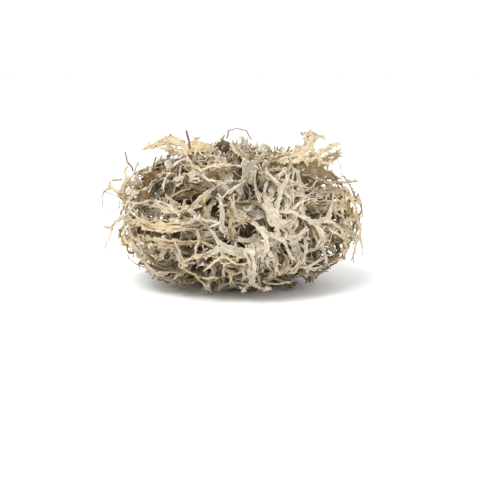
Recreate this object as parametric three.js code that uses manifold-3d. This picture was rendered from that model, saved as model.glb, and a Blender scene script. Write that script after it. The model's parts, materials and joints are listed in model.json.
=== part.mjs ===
// A clump of dried oakmoss, the lichen Evernia prunastri.
// Each thallus is a flat strap that forks again and again. The thalli lie tangled round a matted heart,
// with a few scraps of bark, leaf and twig caught between them.
// Millimetres, +Z up. The origin is the middle of the small flat spot that the clump rests on.
// Its front, for which the guided thalli are laid out, faces -Y.
import * as THREE from "three";
import { ImprovedNoise } from "three/addons/math/ImprovedNoise.js";
import { mergeVertices } from "three/addons/utils/BufferGeometryUtils.js";
import Module from "manifold-3d";

const wasm = await Module();
wasm.setup();

// The clump's outline: an oval mound, taller above its widest height than below it.
const MOUND = { halfWidth: 41, halfDepth: 38, middle: 24, rise: 26, drop: 24 };
// The matted heart: an oval that the floor cuts to a flat spot.
const HEART = { halfWidth: 26, halfDepth: 24, middle: 22, rise: 19, drop: 24 };
const HEART_DENT = 0.17; // how deep its crumpled surface dips, as a share of its radius
const HEART_FOLD = 6; // distance from one fold of that surface to the next
const HEART_FINENESS = 5; // how finely the surface is divided

// A strap's build.
const STEP = 2.8; // distance between two stations along a strap
const RIB = 0.95; // thickness along the middle of a wide strap; the edges are sharp
const THIN_RIB = 0.75; // thickness along the middle of a tip
const CUP = 0.32; // how far the edges curl out, as a share of the half width
const SWELL = 1.3; // a strap is this much wider where it forks
const TIP_HALF = 0.45; // half width of the last station before a point
const TRUNK_STEPS = 3; // steps from the base of a thallus to its first fork, where no plan says more
const BURIED = 0.12; // how far below its level a guided thallus starts
const ROOT_LEVEL = 0.76; // level in the heart's oval of a fused root, below the deepest dent
const ROOT_LENGTH = 8; // how far from its base a fused thallus may run inside the heart

// Room between pieces.
const FLESH_GAP = 1.42; // least distance between the middles of two straps' flesh
const KIN_GAP = 0.95; // the same, near a fork that the two straps share
const KIN_LENGTH = 7.2; // how far along the straps "near a fork" reaches
const FLOOR_GAP = 0.95; // least height of a strap's flesh
const MOUND_LIMIT = 1.15; // most level, in the mound's oval, of a strap's flesh, unless its plan says more
const HEART_GAP = 1.05; // least level, in the heart's oval, of a loose strap's flesh
const SEAT_GAP = 0.3; // gap between a resting piece and its seat

const vec = (x, y, z) => new THREE.Vector3(x, y, z);
const clamp = (value, low, high) => Math.min(high, Math.max(low, value));

// A repeatable stream of numbers from 0 to 1.
function numberStream(seed) {
  let state = seed;
  return () => {
    state = (1664525 * state + 1013904223) % 4294967296;
    return state / 4294967296;
  };
}

// 1 on an oval's surface, less inside it and more outside.
function levelIn(oval, p) {
  const up = p.z - oval.middle;
  const x = p.x / oval.halfWidth;
  const y = p.y / oval.halfDepth;
  const z = up / (up > 0 ? oval.rise : oval.drop);
  return Math.sqrt(x * x + y * y + z * z);
}

// The way out of an oval at a point.
function outward(oval, p) {
  const up = p.z - oval.middle;
  const half = up > 0 ? oval.rise : oval.drop;
  const x = p.x / (oval.halfWidth * oval.halfWidth);
  const y = p.y / (oval.halfDepth * oval.halfDepth);
  return vec(x, y, up / (half * half)).normalize();
}

// The point of an oval, at a level, that lies straight out from its middle towards p.
function pointOf(oval, p, level) {
  const arm = vec(p.x, p.y, p.z - oval.middle).multiplyScalar(level / levelIn(oval, p));
  return vec(arm.x, arm.y, arm.z + oval.middle);
}

// The point on the mound's front, at a level, that is seen at x across and z up.
function frontPoint(x, z, level) {
  const up = z - MOUND.middle;
  const across = x / MOUND.halfWidth;
  const height = up / (up > 0 ? MOUND.rise : MOUND.drop);
  const left = level * level - across * across - height * height;
  return vec(x, -MOUND.halfDepth * Math.sqrt(Math.max(0.02, left)), z);
}

// The part of a direction that is square to an axis, as a unit vector.
function squareTo(direction, axis) {
  return direction.clone().addScaledVector(axis, -direction.dot(axis)).normalize();
}

// A cross-section of a strap: its place, the way on, the way its face looks, its half width,
// and its distance from the base along the thallus.
function makeStation(at, along, normal, half, path) {
  const face = squareTo(normal, along);
  return { at, along, normal: face, side: vec(0, 0, 0).crossVectors(face, along), half, path };
}

// Points across a station that stand for its flesh.
function fleshPoints(station) {
  const count = Math.ceil(station.half / 1.3);
  const points = [];
  for (let k = -count; k <= count; k += 1) {
    const share = (0.9 * k) / count;
    const lift = Math.abs(share) * CUP * station.half;
    const point = station.at.clone().addScaledVector(station.side, share * station.half);
    points.push(point.addScaledVector(station.normal, lift));
  }
  return points;
}

// The flesh that is already there, kept in cubes a little wider than the gap between straps.
const CUBE = 1.5;
const flesh = new Map();

function cubeOf(point) {
  return [Math.floor(point.x / CUBE), Math.floor(point.y / CUBE), Math.floor(point.z / CUBE)];
}

function addFlesh(station, strap) {
  for (const point of fleshPoints(station)) {
    const key = cubeOf(point).join();
    if (!flesh.has(key)) flesh.set(key, []);
    flesh.get(key).push({ point, strap, path: station.path });
  }
}

function removeFlesh(thallus) {
  for (const [key, bits] of flesh) {
    flesh.set(key, bits.filter(({ strap }) => strap.thallus !== thallus));
  }
}

// The length from the base at which two straps of one thallus part.
function partingLength(a, b) {
  if (a === b) return Infinity;
  const limits = new Map();
  let limit = Infinity;
  for (let strap = a; strap; strap = strap.parent) {
    limits.set(strap, limit);
    limit = strap.leavesAt;
  }
  limit = Infinity;
  for (let strap = b; strap; strap = strap.parent) {
    if (limits.has(strap)) return Math.min(limit, limits.get(strap));
    limit = strap.leavesAt;
  }
  return 0;
}

// How close flesh at one place of a strap may come to flesh that is already there.
function gapTo(strap, path, old) {
  if (strap.thallus !== old.strap.thallus) return FLESH_GAP;
  const shared = Math.min(partingLength(strap, old.strap), path, old.path);
  const between = path + old.path - 2 * shared;
  if (between > KIN_LENGTH) return FLESH_GAP;
  return strap !== old.strap && between > 2.1 * STEP ? KIN_GAP : 0;
}

// True if a station's flesh keeps clear of the floor, the heart and the flesh that is already there.
function isClear(station, strap) {
  const inHeart = strap.thallus.fused && station.path < ROOT_LENGTH;
  const limit = strap.thallus.limit ?? MOUND_LIMIT;
  for (const point of fleshPoints(station)) {
    if (point.z < FLOOR_GAP || levelIn(MOUND, point) > limit) return false;
    if (!inHeart && levelIn(HEART, point) < HEART_GAP) return false;
    const [cx, cy, cz] = cubeOf(point);
    for (let i = cx - 1; i <= cx + 1; i += 1)
      for (let j = cy - 1; j <= cy + 1; j += 1)
        for (let k = cz - 1; k <= cz + 1; k += 1)
          for (const old of flesh.get([i, j, k].join()) ?? []) {
            const x = point.x - old.point.x;
            const y = point.y - old.point.y;
            const z = point.z - old.point.z;
            const distance = x * x + y * y + z * z;
            if (distance >= FLESH_GAP * FLESH_GAP) continue;
            const gap = gapTo(strap, station.path, old);
            if (distance < gap * gap) return false;
          }
  }
  return true;
}

// Ways to bend off the wanted direction, mildest first: in the strap's plane, and out of it.
const BENDS = [
  [0, 0], [0, 0.22], [0, -0.22], [0.25, 0], [-0.25, 0], [0, 0.45], [0, -0.45],
  [0.3, 0.3], [-0.3, 0.3], [0.3, -0.3], [-0.3, -0.3], [0, 0.8], [0, -0.8],
  [0.6, 0], [-0.6, 0], [0.5, 0.6], [-0.5, 0.6], [0.5, -0.6], [-0.5, -0.6],
];
const SHARPEST_TURN = 0.7; // least cosine between one step and the next
const WIDEST_SWING = 1.3; // most that a strap's edge may gain on its middle in a step

// The next station in the wanted direction, or bent off it where something is in the way, or null.
function nextStation(strap, from, wanted, half) {
  const { facing } = strap.thallus;
  const face = (facing ? vec(...facing) : outward(MOUND, from.at)).addScaledVector(from.side, strap.twist);
  for (const [inPlane, outOfPlane] of BENDS) {
    const along = wanted.clone().addScaledVector(from.side, inPlane);
    along.addScaledVector(from.normal, outOfPlane).normalize();
    const swing = Math.abs(along.dot(from.side)) * half;
    if (along.dot(from.along) < SHARPEST_TURN || swing > WIDEST_SWING) continue;
    const at = from.at.clone().addScaledVector(along, STEP);
    const normal = from.normal.clone().multiplyScalar(1.5).addScaledVector(face, 0.5);
    const station = makeStation(at, along, normal, half, from.path + STEP);
    const middle = from.at.clone().add(at).multiplyScalar(0.5);
    const between = station.normal.clone().add(from.normal);
    const midway = makeStation(middle, along, between, 0.5 * (from.half + half), from.path + 0.5 * STEP);
    if (isClear(station, strap) && isClear(midway, strap)) {
      addFlesh(station, strap);
      addFlesh(midway, strap);
      return station;
    }
  }
  return null;
}

// The direction that a strap would take: towards its next goal, or along the mound at its own level.
// A tip goes straight on.
function wantedDirection(strap, from, draw) {
  strap.wander = 0.6 * strap.wander + 0.5 * (draw() - 0.5);
  strap.lift = 0.5 * strap.lift + 0.6 * (draw() - 0.5);
  strap.twist = clamp(strap.twist + 1.0 * (draw() - 0.5), -1, 1);
  const wanted = from.along.clone();
  if (strap.goals.length) {
    const pull = strap.goals[0].at.clone().sub(from.at).normalize();
    wanted.addScaledVector(pull, 1.6).addScaledVector(from.side, 0.5 * strap.wander);
  } else {
    const level = strap.thallus.endLevel ?? strap.thallus.level;
    const away = strap.isTip ? 0 : level + strap.rise - levelIn(MOUND, from.at);
    wanted.addScaledVector(outward(MOUND, from.at), clamp(5 * away, -0.6, 0.6) + strap.lift);
    wanted.addScaledVector(from.side, strap.wander);
  }
  return wanted.normalize();
}

// True if a strap has got to a goal, or has just passed it.
function isReached(goal, from) {
  const distance = goal.distanceTo(from.at);
  const ahead = goal.clone().sub(from.at).dot(from.along);
  return distance < 1.2 * STEP || (distance < 3 * STEP && ahead < 0);
}

// Grows one strap on from its last station, and says whether it got far enough to fork.
function growStrap(strap, draw) {
  let from = strap.stations[strap.stations.length - 1];
  const guided = strap.goals.length > 0;
  const count = guided ? 24 : strap.steps;
  for (let k = 1; k <= count; k += 1) {
    while (strap.goals.length && isReached(strap.goals[0].at, from)) strap.goals.shift();
    if (guided && !strap.goals.length) return true;
    if (guided) strap.half += 0.5 * ((strap.goals[0].half ?? strap.half) - strap.half);
    const share = guided ? Math.min(1, 0.12 * k) : k / count;
    const swell = strap.isTip ? 1 - 0.5 * share : 1 + (SWELL - 1) * share * share;
    const half = Math.max(TIP_HALF, strap.half * swell * (0.9 + 0.2 * draw()));
    const station = nextStation(strap, from, wantedDirection(strap, from, draw), half);
    if (!station) return k > 2;
    strap.stations.push(station);
    from = station;
  }
  return true;
}

// How much lower than its level a thallus lies at its first goals, where it comes out of the tangle.
const buried = (k) => BURIED * Math.max(0, 1 - 0.5 * k);

function makeStrap(thallus, parent, plan) {
  const level = plan?.level ?? thallus.level;
  const goals = (plan?.goals ?? []).map(([x, z, half], k) => {
    return { at: frontPoint(x, z, level - (parent ? 0 : buried(k))), half };
  });
  return {
    thallus,
    parent,
    plan,
    half: plan?.half ?? 0,
    order: parent ? parent.order + 1 : 0,
    leavesAt: parent ? parent.stations[parent.stations.length - 1].path : 0,
    stations: [],
    children: [],
    goals,
    steps: TRUNK_STEPS,
    isTip: false,
    wander: 0,
    lift: 0,
    split: 0,
    twist: parent ? parent.twist : 0,
    rise: parent ? parent.rise : 0,
  };
}

// A strap's guided branches, the one farthest to its left first.
function sortedBranches(strap, end) {
  const reach = (child) => child.goals[0].at.clone().sub(end.at).dot(end.side);
  const children = (strap.plan?.branches ?? []).map((plan) => makeStrap(strap.thallus, strap, plan));
  return children.sort((a, b) => reach(a) - reach(b));
}

// Splits a strap's end in two, each side as wide as the strap that leaves it.
function forkStrap(strap, draw) {
  const end = strap.stations[strap.stations.length - 1];
  const mainShare = 0.5 + 0.16 * draw();
  const leftShare = draw() < 0.5 ? mainShare : 1 - mainShare;
  const opening = 0.5 + 0.3 * draw();
  const planned = sortedBranches(strap, end);
  strap.split = end.half * (2 * leftShare - 1);
  for (const sign of [-1, 1]) {
    const share = sign < 0 ? leftShare : 1 - leftShare;
    const child = planned.shift() ?? makeStrap(strap.thallus, strap, null);
    child.half = child.half || Math.max(TIP_HALF, 1.1 * end.half * share);
    child.rise += 0.08 * (draw() - 0.35);
    const start = end.at.clone().addScaledVector(end.side, sign * end.half * (1 - share));
    const wanted = end.along.clone().addScaledVector(end.side, sign * opening).normalize();
    if (child.goals.length) {
      wanted.addScaledVector(child.goals[0].at.clone().sub(start).normalize(), 0.8).normalize();
    } else {
      child.isTip = child.order >= strap.thallus.forks;
      child.steps = 1 + Math.floor(2 * draw());
    }
    const from = { ...end, at: start, half: Math.min(child.half, end.half * share) };
    const first = nextStation(child, from, wanted, Math.max(TIP_HALF, 0.9 * child.half));
    if (!first) continue;
    const inner = first.at.clone().addScaledVector(first.side, -sign * first.half).sub(end.at);
    if (sign * (inner.dot(end.side) - strap.split) < 0.08) continue;
    child.stations.push(first);
    strap.children.push(child);
  }
}

// The base station, on the heart's surface straight inside the place that the thallus starts from.
function baseStation(thallus, trunk, draw) {
  const level = thallus.fused ? ROOT_LEVEL : HEART_GAP + 0.012;
  for (let tries = 0; tries < 40; tries += 1) {
    const aside = vec(draw() - 0.5, draw() - 0.5, draw() - 0.5).multiplyScalar(0.6 * tries);
    const at = pointOf(HEART, thallus.aim.clone().add(aside), level);
    const out = outward(HEART, at);
    const across = squareTo(vec(draw() - 0.5, draw() - 0.5, draw() - 0.5), out);
    const along = out.clone().addScaledVector(across, thallus.goals ? 0.2 : 0.9).normalize();
    const normal = across.addScaledVector(out, 0.5);
    const station = makeStation(at, along, normal, 0.6 * trunk.half, 0);
    if (at.z > 2 && isClear(station, trunk)) return station;
  }
  return null;
}

// Grows a thallus from its base: a strap, then the straps that fork from it, level by level.
function growThallus(thallus) {
  const draw = numberStream(thallus.seed);
  const trunk = makeStrap(thallus, null, thallus);
  const base = baseStation(thallus, trunk, draw);
  if (!base) return null;
  trunk.stations.push(base);
  addFlesh(base, trunk);
  const waiting = [trunk];
  while (waiting.length) {
    const strap = waiting.shift();
    if (!growStrap(strap, draw) || strap.isTip) continue;
    forkStrap(strap, draw);
    waiting.push(...strap.children);
  }
  return trunk;
}

const FRONT = [0, -1, 0.3]; // the way that a face looks which shows full from the front

// The thalli whose course shows from the front. Their goals are [across, up] on the mound's front, with the
// half width there where it changes, and their branches fork off at the last goal. A thallus whose face
// doesn't follow the mound has a facing, and one whose free ends leave the mound has an end level.
const GUIDED = [
  {
    name: "right_plume", tone: "straw", seed: 1, half: 1.9, forks: 2, level: 1, endLevel: 1.4, limit: 1.5,
    facing: FRONT,
    goals: [[15, 47], [19, 48, 2.4], [23.5, 49, 2.9], [27.5, 50.5, 3]],
  },
  {
    name: "top_left_leaf", tone: "straw", seed: 10, half: 2, forks: 2, level: 1, endLevel: 1.25, limit: 1.4,
    facing: FRONT,
    goals: [[-5, 47.5], [-9.5, 49.5, 2.8], [-13.5, 51, 3.3], [-17.5, 51.5, 3.2]],
  },
  {
    name: "right_horn", tone: "straw", seed: 15, half: 1.4, forks: 1, level: 1, endLevel: 1.35, limit: 1.4,
    goals: [[24, 43], [28.5, 41, 1.6], [33, 39], [37, 38.5, 1.3], [39.5, 41.5, 1]],
  },
  {
    name: "front_cross", tone: "grey", seed: 28, half: 2, forks: 3, level: 1,
    goals: [[6, 42.5, 2.2], [7.5, 39, 2.4], [10.5, 35.5, 2.3], [14, 31, 1.9], [16.5, 27.5, 1.7]],
    branches: [
      { half: 1.4, level: 1.05, goals: [[19.5, 23.5], [21.5, 18.5], [23.5, 12]] },
      {
        half: 1.6, level: 1.05, goals: [[14, 25], [9, 21.5], [5, 17]],
        branches: [
          { half: 1.3, level: 1.05, goals: [[5.5, 11], [6, 6.5, 1]] },
          { half: 1.7, level: 1.03, goals: [[1.5, 19], [-2, 21], [-7, 21.5]] },
        ],
      },
    ],
  },
  {
    name: "broad_plate", tone: "grey", seed: 73, half: 2.8, forks: 3, level: 1,
    goals: [[17, 46], [19, 43, 3.1], [21.5, 39, 3.2], [22.5, 35, 2.7], [21, 32, 2]],
    branches: [
      { half: 1.3, level: 1.02, goals: [[24.5, 29.5], [29.5, 28]] },
      { half: 1.5, level: 1.02, goals: [[20, 28.5], [18.5, 24.5]] },
    ],
  },
  {
    name: "top_plate", tone: "grey", seed: 54, half: 1.8, forks: 2, level: 0.99, endLevel: 1.1, limit: 1.25,
    facing: FRONT,
    goals: [[6, 42.5], [4.5, 45.5, 2.8], [4, 48, 3.3], [2.5, 50, 3]],
  },
  {
    name: "coral_branch", tone: "grey", seed: 35, half: 1.5, forks: 2, level: 1.05,
    goals: [[-1, 24.5], [-2, 27.5]],
    branches: [
      { half: 1.3, level: 1.05, goals: [[-5, 30.5]] },
      { half: 1.4, level: 1.04, goals: [[-1, 31], [2, 34]] },
    ],
  },
  {
    name: "sweep_lower", tone: "straw", seed: 10, half: 1.6, forks: 3, level: 1.02, limit: 1.32,
    goals: [[-9.5, 29], [-14.5, 28.5, 1.8], [-20, 28, 2], [-26.5, 27, 2.2], [-32.5, 27, 2.2], [-37, 28.5, 2]],
    branches: [
      { half: 1.4, goals: [[-41, 31.5], [-43, 35.5], [-43.5, 38.5, 1]] },
      { half: 1.2, goals: [[-42, 28]] },
    ],
  },
  {
    name: "sweep_rim", tone: "straw", seed: 6, half: 1.4, forks: 3, level: 1.03, limit: 1.2,
    goals: [[-12, 22], [-17.5, 22], [-23, 21.5], [-29.5, 21], [-36, 21], [-40.5, 20.5]],
  },
  {
    name: "sweep_upper", tone: "grey", seed: 54, half: 1.7, forks: 3, level: 1,
    goals: [[-10, 37], [-14.5, 34], [-19.5, 32.5], [-24.5, 34], [-30, 35.5]],
  },
  {
    name: "left_tuft", tone: "straw", seed: 43, half: 1.4, forks: 3, level: 0.98, limit: 1.3,
    goals: [[-31, 35], [-36, 36], [-40, 39], [-41, 43]],
  },
  {
    name: "net_upper", tone: "grey", seed: 117, half: 1.8, forks: 3, level: 0.97,
    goals: [[-1, 44], [-4.5, 47], [-9, 48.5], [-14, 48], [-19.5, 46.5]],
  },
  {
    name: "net_lower", tone: "grey", seed: 148, half: 1.7, forks: 3, level: 1,
    goals: [[-6.5, 37.5], [-8.5, 42], [-13.5, 43.5], [-18, 42.5], [-22.5, 40.5]],
  },
  {
    name: "hanging_stub", tone: "grey", seed: 11, half: 1.5, forks: 1, level: 1.09,
    goals: [[-23.5, 26], [-24, 22]],
  },
  {
    name: "cross_link", tone: "grey", seed: 43, half: 1.5, forks: 3, level: 0.96,
    goals: [[0, 30], [4, 30.5], [8, 29.5]],
  },
  {
    name: "right_tuft_upper", tone: "straw", seed: 104, half: 1.6, forks: 3, level: 1, limit: 1.22,
    goals: [[25, 34], [30, 32.5], [36, 32], [42, 31.5]],
  },
  {
    name: "right_tuft_lower", tone: "straw", seed: 130, half: 1.6, forks: 3, level: 1.01, limit: 1.22,
    goals: [[25.5, 24], [30.5, 23.5], [36, 24.5], [42, 26.5]],
  },
  {
    name: "grey_back", tone: "grey", seed: 49, half: 2, forks: 2, level: 0.94,
    goals: [[8.5, 44.5], [11.5, 42], [15, 38]],
  },
  {
    name: "right_low", tone: "brown", seed: 91, half: 1.5, forks: 3, level: 1,
    goals: [[26.5, 19.5], [31, 18.5], [36, 17]],
  },
];
const SETBACK = 2; // how far behind its first goal a guided thallus starts, in spaces between goals

// Thalli that are placed by rule, each where the clump is barest: short ones fused with the heart,
// then loose ones on the outside.
const FUSED = {
  count: 20, seed: 1700, fewest: 9, forks: 2,
  level: 0.84, levelSpan: 0.08, half: 1.3, halfSpan: 0.4,
};
const OUTER = {
  count: 60, seed: 1100, fewest: 18, forks: 3,
  level: 0.85, levelSpan: 0.16, half: 1.5, halfSpan: 0.6,
};
const LOWEST_AIM = 5;

// The barest place on the mound, at a level, among a few drawn at random: farthest from all flesh.
function barestPlace(draw, level) {
  let best = null;
  let farthest = -1;
  for (let tries = 0; tries < 24; tries += 1) {
    const heading = vec(draw() - 0.5, draw() - 0.5, MOUND.middle + 0.9 * (draw() - 0.5));
    const place = pointOf(MOUND, heading, level);
    if (place.z < LOWEST_AIM) continue;
    let nearest = Infinity;
    for (const bits of flesh.values())
      for (const { point } of bits) nearest = Math.min(nearest, point.distanceToSquared(place));
    if (nearest > farthest) {
      farthest = nearest;
      best = place;
    }
  }
  return best;
}

// Grows the guided thalli, in the order of the list.
function growGuided() {
  return GUIDED.map((plan) => {
    const [first, second] = plan.goals.map(([x, z]) => frontPoint(x, z, plan.level));
    const aim = first.clone().addScaledVector(first.clone().sub(second), SETBACK);
    return { tone: plan.tone, name: "thallus_" + plan.name, trunk: growThallus({ ...plan, aim }) };
  });
}

function countStations(strap) {
  return strap.children.reduce((sum, child) => sum + countStations(child), strap.stations.length);
}

// Grows a family of thalli that are placed by rule. One that finds too little room is left out.
function growFamily(family, title, fused) {
  const draw = numberStream(family.seed);
  const grown = [];
  for (let k = 1; k <= family.count; k += 1) {
    const level = family.level + family.levelSpan * draw();
    const half = family.half + family.halfSpan * draw();
    const tone = draw() < 0.5 ? "grey" : draw() < 0.7 ? "straw" : "brown";
    const aim = barestPlace(draw, level);
    const thallus = { level, half, aim, fused, forks: family.forks, seed: family.seed + k };
    const trunk = growThallus(thallus);
    const name = `${title}_${grown.length + 1}`;
    if (trunk && countStations(trunk) >= family.fewest) grown.push({ tone, name, trunk });
    else removeFlesh(thallus);
  }
  return grown;
}

function solidOf(geometry) {
  const merged = mergeVertices(geometry, 1e-4);
  return new wasm.Manifold(
    new wasm.Mesh({
      numProp: 3,
      vertProperties: merged.attributes.position.array,
      triVerts: new Uint32Array(merged.index.array),
    }),
  );
}

function geometryOf(solid) {
  const mesh = solid.getMesh();
  const geometry = new THREE.BufferGeometry();
  geometry.setAttribute("position", new THREE.BufferAttribute(mesh.vertProperties, 3));
  geometry.setIndex(new THREE.BufferAttribute(mesh.triVerts, 1));
  return geometry;
}

// A closed skin over stations, four corners to each: left edge, top, right edge and bottom.
class Skin {
  points = [];
  faces = [];

  addPoint(point) {
    this.points.push(point.x, point.y, point.z);
    return this.points.length / 3 - 1;
  }

  addRing(station, split, rib) {
    const corner = (across, up) => {
      const point = station.at.clone().addScaledVector(station.side, across);
      return this.addPoint(point.addScaledVector(station.normal, up));
    };
    const curl = CUP * station.half;
    return {
      left: corner(-station.half, curl),
      top: corner(split, 0.5 * rib),
      right: corner(station.half, curl),
      bottom: corner(split, -0.5 * rib),
    };
  }

  join(a, b) {
    this.faces.push(a.top, a.left, b.top, a.left, b.left, b.top);
    this.faces.push(a.left, a.bottom, b.bottom, a.left, b.bottom, b.left);
    this.faces.push(a.bottom, a.right, b.bottom, a.right, b.right, b.bottom);
    this.faces.push(a.right, a.top, b.top, a.right, b.top, b.right);
  }

  // Splits a ring at its rib into a ring on its left and one on its right.
  fork(from, left, right) {
    this.faces.push(from.top, from.left, left.top, from.left, left.left, left.top);
    this.faces.push(from.top, left.top, left.right, from.top, left.right, from.bottom);
    this.faces.push(from.left, from.bottom, left.bottom, from.left, left.bottom, left.left);
    this.faces.push(from.bottom, left.right, left.bottom);
    this.faces.push(from.right, from.top, right.top, from.right, right.top, right.right);
    this.faces.push(from.top, right.left, right.top, from.bottom, right.left, from.top);
    this.faces.push(from.bottom, from.right, right.bottom, from.right, right.right, right.bottom);
    this.faces.push(from.bottom, right.bottom, right.left);
  }

  closeStart(ring, point) {
    const foot = this.addPoint(point);
    this.faces.push(ring.bottom, ring.left, foot, ring.right, ring.bottom, foot);
    this.faces.push(ring.top, ring.right, foot, ring.left, ring.top, foot);
  }

  closeEnd(ring, point) {
    const tip = this.addPoint(point);
    this.faces.push(ring.left, ring.bottom, tip, ring.bottom, ring.right, tip);
    this.faces.push(ring.right, ring.top, tip, ring.top, ring.left, tip);
  }

  geometry() {
    const geometry = new THREE.BufferGeometry();
    geometry.setAttribute("position", new THREE.Float32BufferAttribute(this.points, 3));
    geometry.setIndex(this.faces);
    return geometry;
  }
}

// The ring of a strap's station. Where the strap forks, its rib moves to the line of the split.
function strapRing(skin, strap, k) {
  const station = strap.stations[k];
  const forks = k === strap.stations.length - 1 && strap.children.length === 2;
  const rib = Math.min(RIB, THIN_RIB + 0.12 * (station.half - TIP_HALF));
  return skin.addRing(station, forks ? strap.split : 0, rib);
}

// Covers a strap from its first ring on, then the straps that fork from it.
function coverStrap(skin, strap, firstRing) {
  let last = firstRing;
  for (let k = 1; k < strap.stations.length; k += 1) {
    const ring = strapRing(skin, strap, k);
    skin.join(last, ring);
    last = ring;
  }
  const rings = strap.children.map((child) => strapRing(skin, child, 0));
  if (rings.length === 2) skin.fork(last, ...rings);
  else if (rings.length === 1) skin.join(last, rings[0]);
  else {
    const end = strap.stations[strap.stations.length - 1];
    skin.closeEnd(last, end.at.clone().addScaledVector(end.along, 0.5 * STEP));
  }
  strap.children.forEach((child, k) => coverStrap(skin, child, rings[k]));
}

// The skin of a thallus, from its foot to its last tips.
function thallusGeometry(trunk, foot) {
  const skin = new Skin();
  const ring = strapRing(skin, trunk, 0);
  skin.closeStart(ring, foot);
  coverStrap(skin, trunk, ring);
  return skin.geometry();
}

// The heart's core: an oval with a crumpled surface and a flat spot on the floor.
function heartCore() {
  const noise = new ImprovedNoise();
  const geometry = new THREE.IcosahedronGeometry(1, HEART_FINENESS);
  geometry.deleteAttribute("normal");
  geometry.deleteAttribute("uv");
  const position = geometry.attributes.position;
  for (let k = 0; k < position.count; k += 1) {
    const way = vec(0, 0, 0).fromBufferAttribute(position, k);
    const smooth = pointOf(HEART, vec(way.x, way.y, way.z + HEART.middle), 1);
    const fold = noise.noise(smooth.x / HEART_FOLD, smooth.y / HEART_FOLD, smooth.z / HEART_FOLD);
    const dent = HEART_DENT * clamp(0.5 + 1.3 * fold, 0, 1) * clamp((smooth.z - 2) / 8, 0, 1);
    const point = pointOf(HEART, smooth, 1 - dent);
    position.setXYZ(k, point.x, point.y, Math.max(0, point.z));
  }
  return solidOf(geometry);
}

// The heart with its short fused thalli standing out of it.
function heartSolid(fused) {
  const straps = fused.map(({ trunk }) => {
    const base = trunk.stations[0];
    return solidOf(thallusGeometry(trunk, base.at.clone().addScaledVector(base.along, -1)));
  });
  return wasm.Manifold.union([heartCore(), ...straps]);
}

// The foot of a loose thallus: a point just off the heart, straight inside the base.
function footOn(heartMesh, base) {
  const inward = vec(0, 0, HEART.middle).sub(base.at).normalize();
  const hit = new THREE.Raycaster(base.at, inward).intersectObject(heartMesh)[0];
  return base.at.clone().addScaledVector(inward, hit.distance - SEAT_GAP);
}

const material = (color, roughness) => new THREE.MeshStandardMaterial({ color, roughness, metalness: 0 });
const MATERIALS = {
  grey: material(0xcbbd9d, 0.95),
  straw: material(0xcfb987, 0.95),
  brown: material(0x8f7b54, 0.95),
  heart: material(0x6d5c40, 1),
  bark: material(0x65564a, 0.9),
  twig: material(0x5a4331, 0.85),
  leaf: material(0x7e694a, 0.85),
  rust: material(0xb07a3c, 0.8),
};

// A thin round stick along a few points.
function stickGeometry(points, radius) {
  const rim = [];
  for (let k = 0; k < STICK_SIDES; k += 1) {
    const angle = (2 * Math.PI * k) / STICK_SIDES;
    rim.push(new THREE.Vector2(radius * Math.cos(angle), radius * Math.sin(angle)));
  }
  const course = new THREE.CatmullRomCurve3(points.map((point) => vec(...point)));
  const geometry = new THREE.ExtrudeGeometry(new THREE.Shape(rim), {
    steps: 3 * (points.length - 1),
    extrudePath: course,
    bevelEnabled: false,
  });
  geometry.deleteAttribute("normal");
  geometry.deleteAttribute("uv");
  return mergeVertices(geometry, 1e-4);
}

// A bowed, uneven chip of bark or leaf, round its own middle and facing +Z.
function chipGeometry({ length, half, bow, thickness, seed }) {
  const draw = numberStream(seed);
  const skin = new Skin();
  let last = null;
  for (let k = 0; k < CHIP_RINGS; k += 1) {
    const share = (2 * k + 1) / CHIP_RINGS - 1;
    const at = vec(0.5 * length * share, 0, bow * (0.5 - share * share));
    const along = vec(0.5 * length, 0, -2 * bow * share).normalize();
    const width = half * Math.sqrt(1 - share * share) * (0.8 + 0.5 * draw());
    const ring = skin.addRing(makeStation(at, along, vec(0, draw() - 0.5, 1), width, 0), 0, thickness);
    if (last) skin.join(last, ring);
    else skin.closeStart(ring, vec(-0.5 * length, 0, -0.5 * bow));
    last = ring;
  }
  skin.closeEnd(last, vec(0.5 * length, 0, -0.5 * bow));
  return skin.geometry();
}

// Slides a scrap along a way, from a start outside the clump, until it all but touches another piece.
// Each move is as long as the gap that is left, so it never goes too far.
function slideToSeat(geometry, start, way) {
  const others = wasm.Manifold.union(placed);
  const solid = solidOf(geometry);
  const at = start.clone();
  for (let moves = 0; moves < 80; moves += 1) {
    const gap = solid.translate(at.toArray()).minGap(others, LONGEST_SLIDE);
    if (gap < SEAT_GAP + 0.02) break;
    at.addScaledVector(way, gap - SEAT_GAP);
  }
  return geometry.translate(...at.toArray());
}

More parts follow.
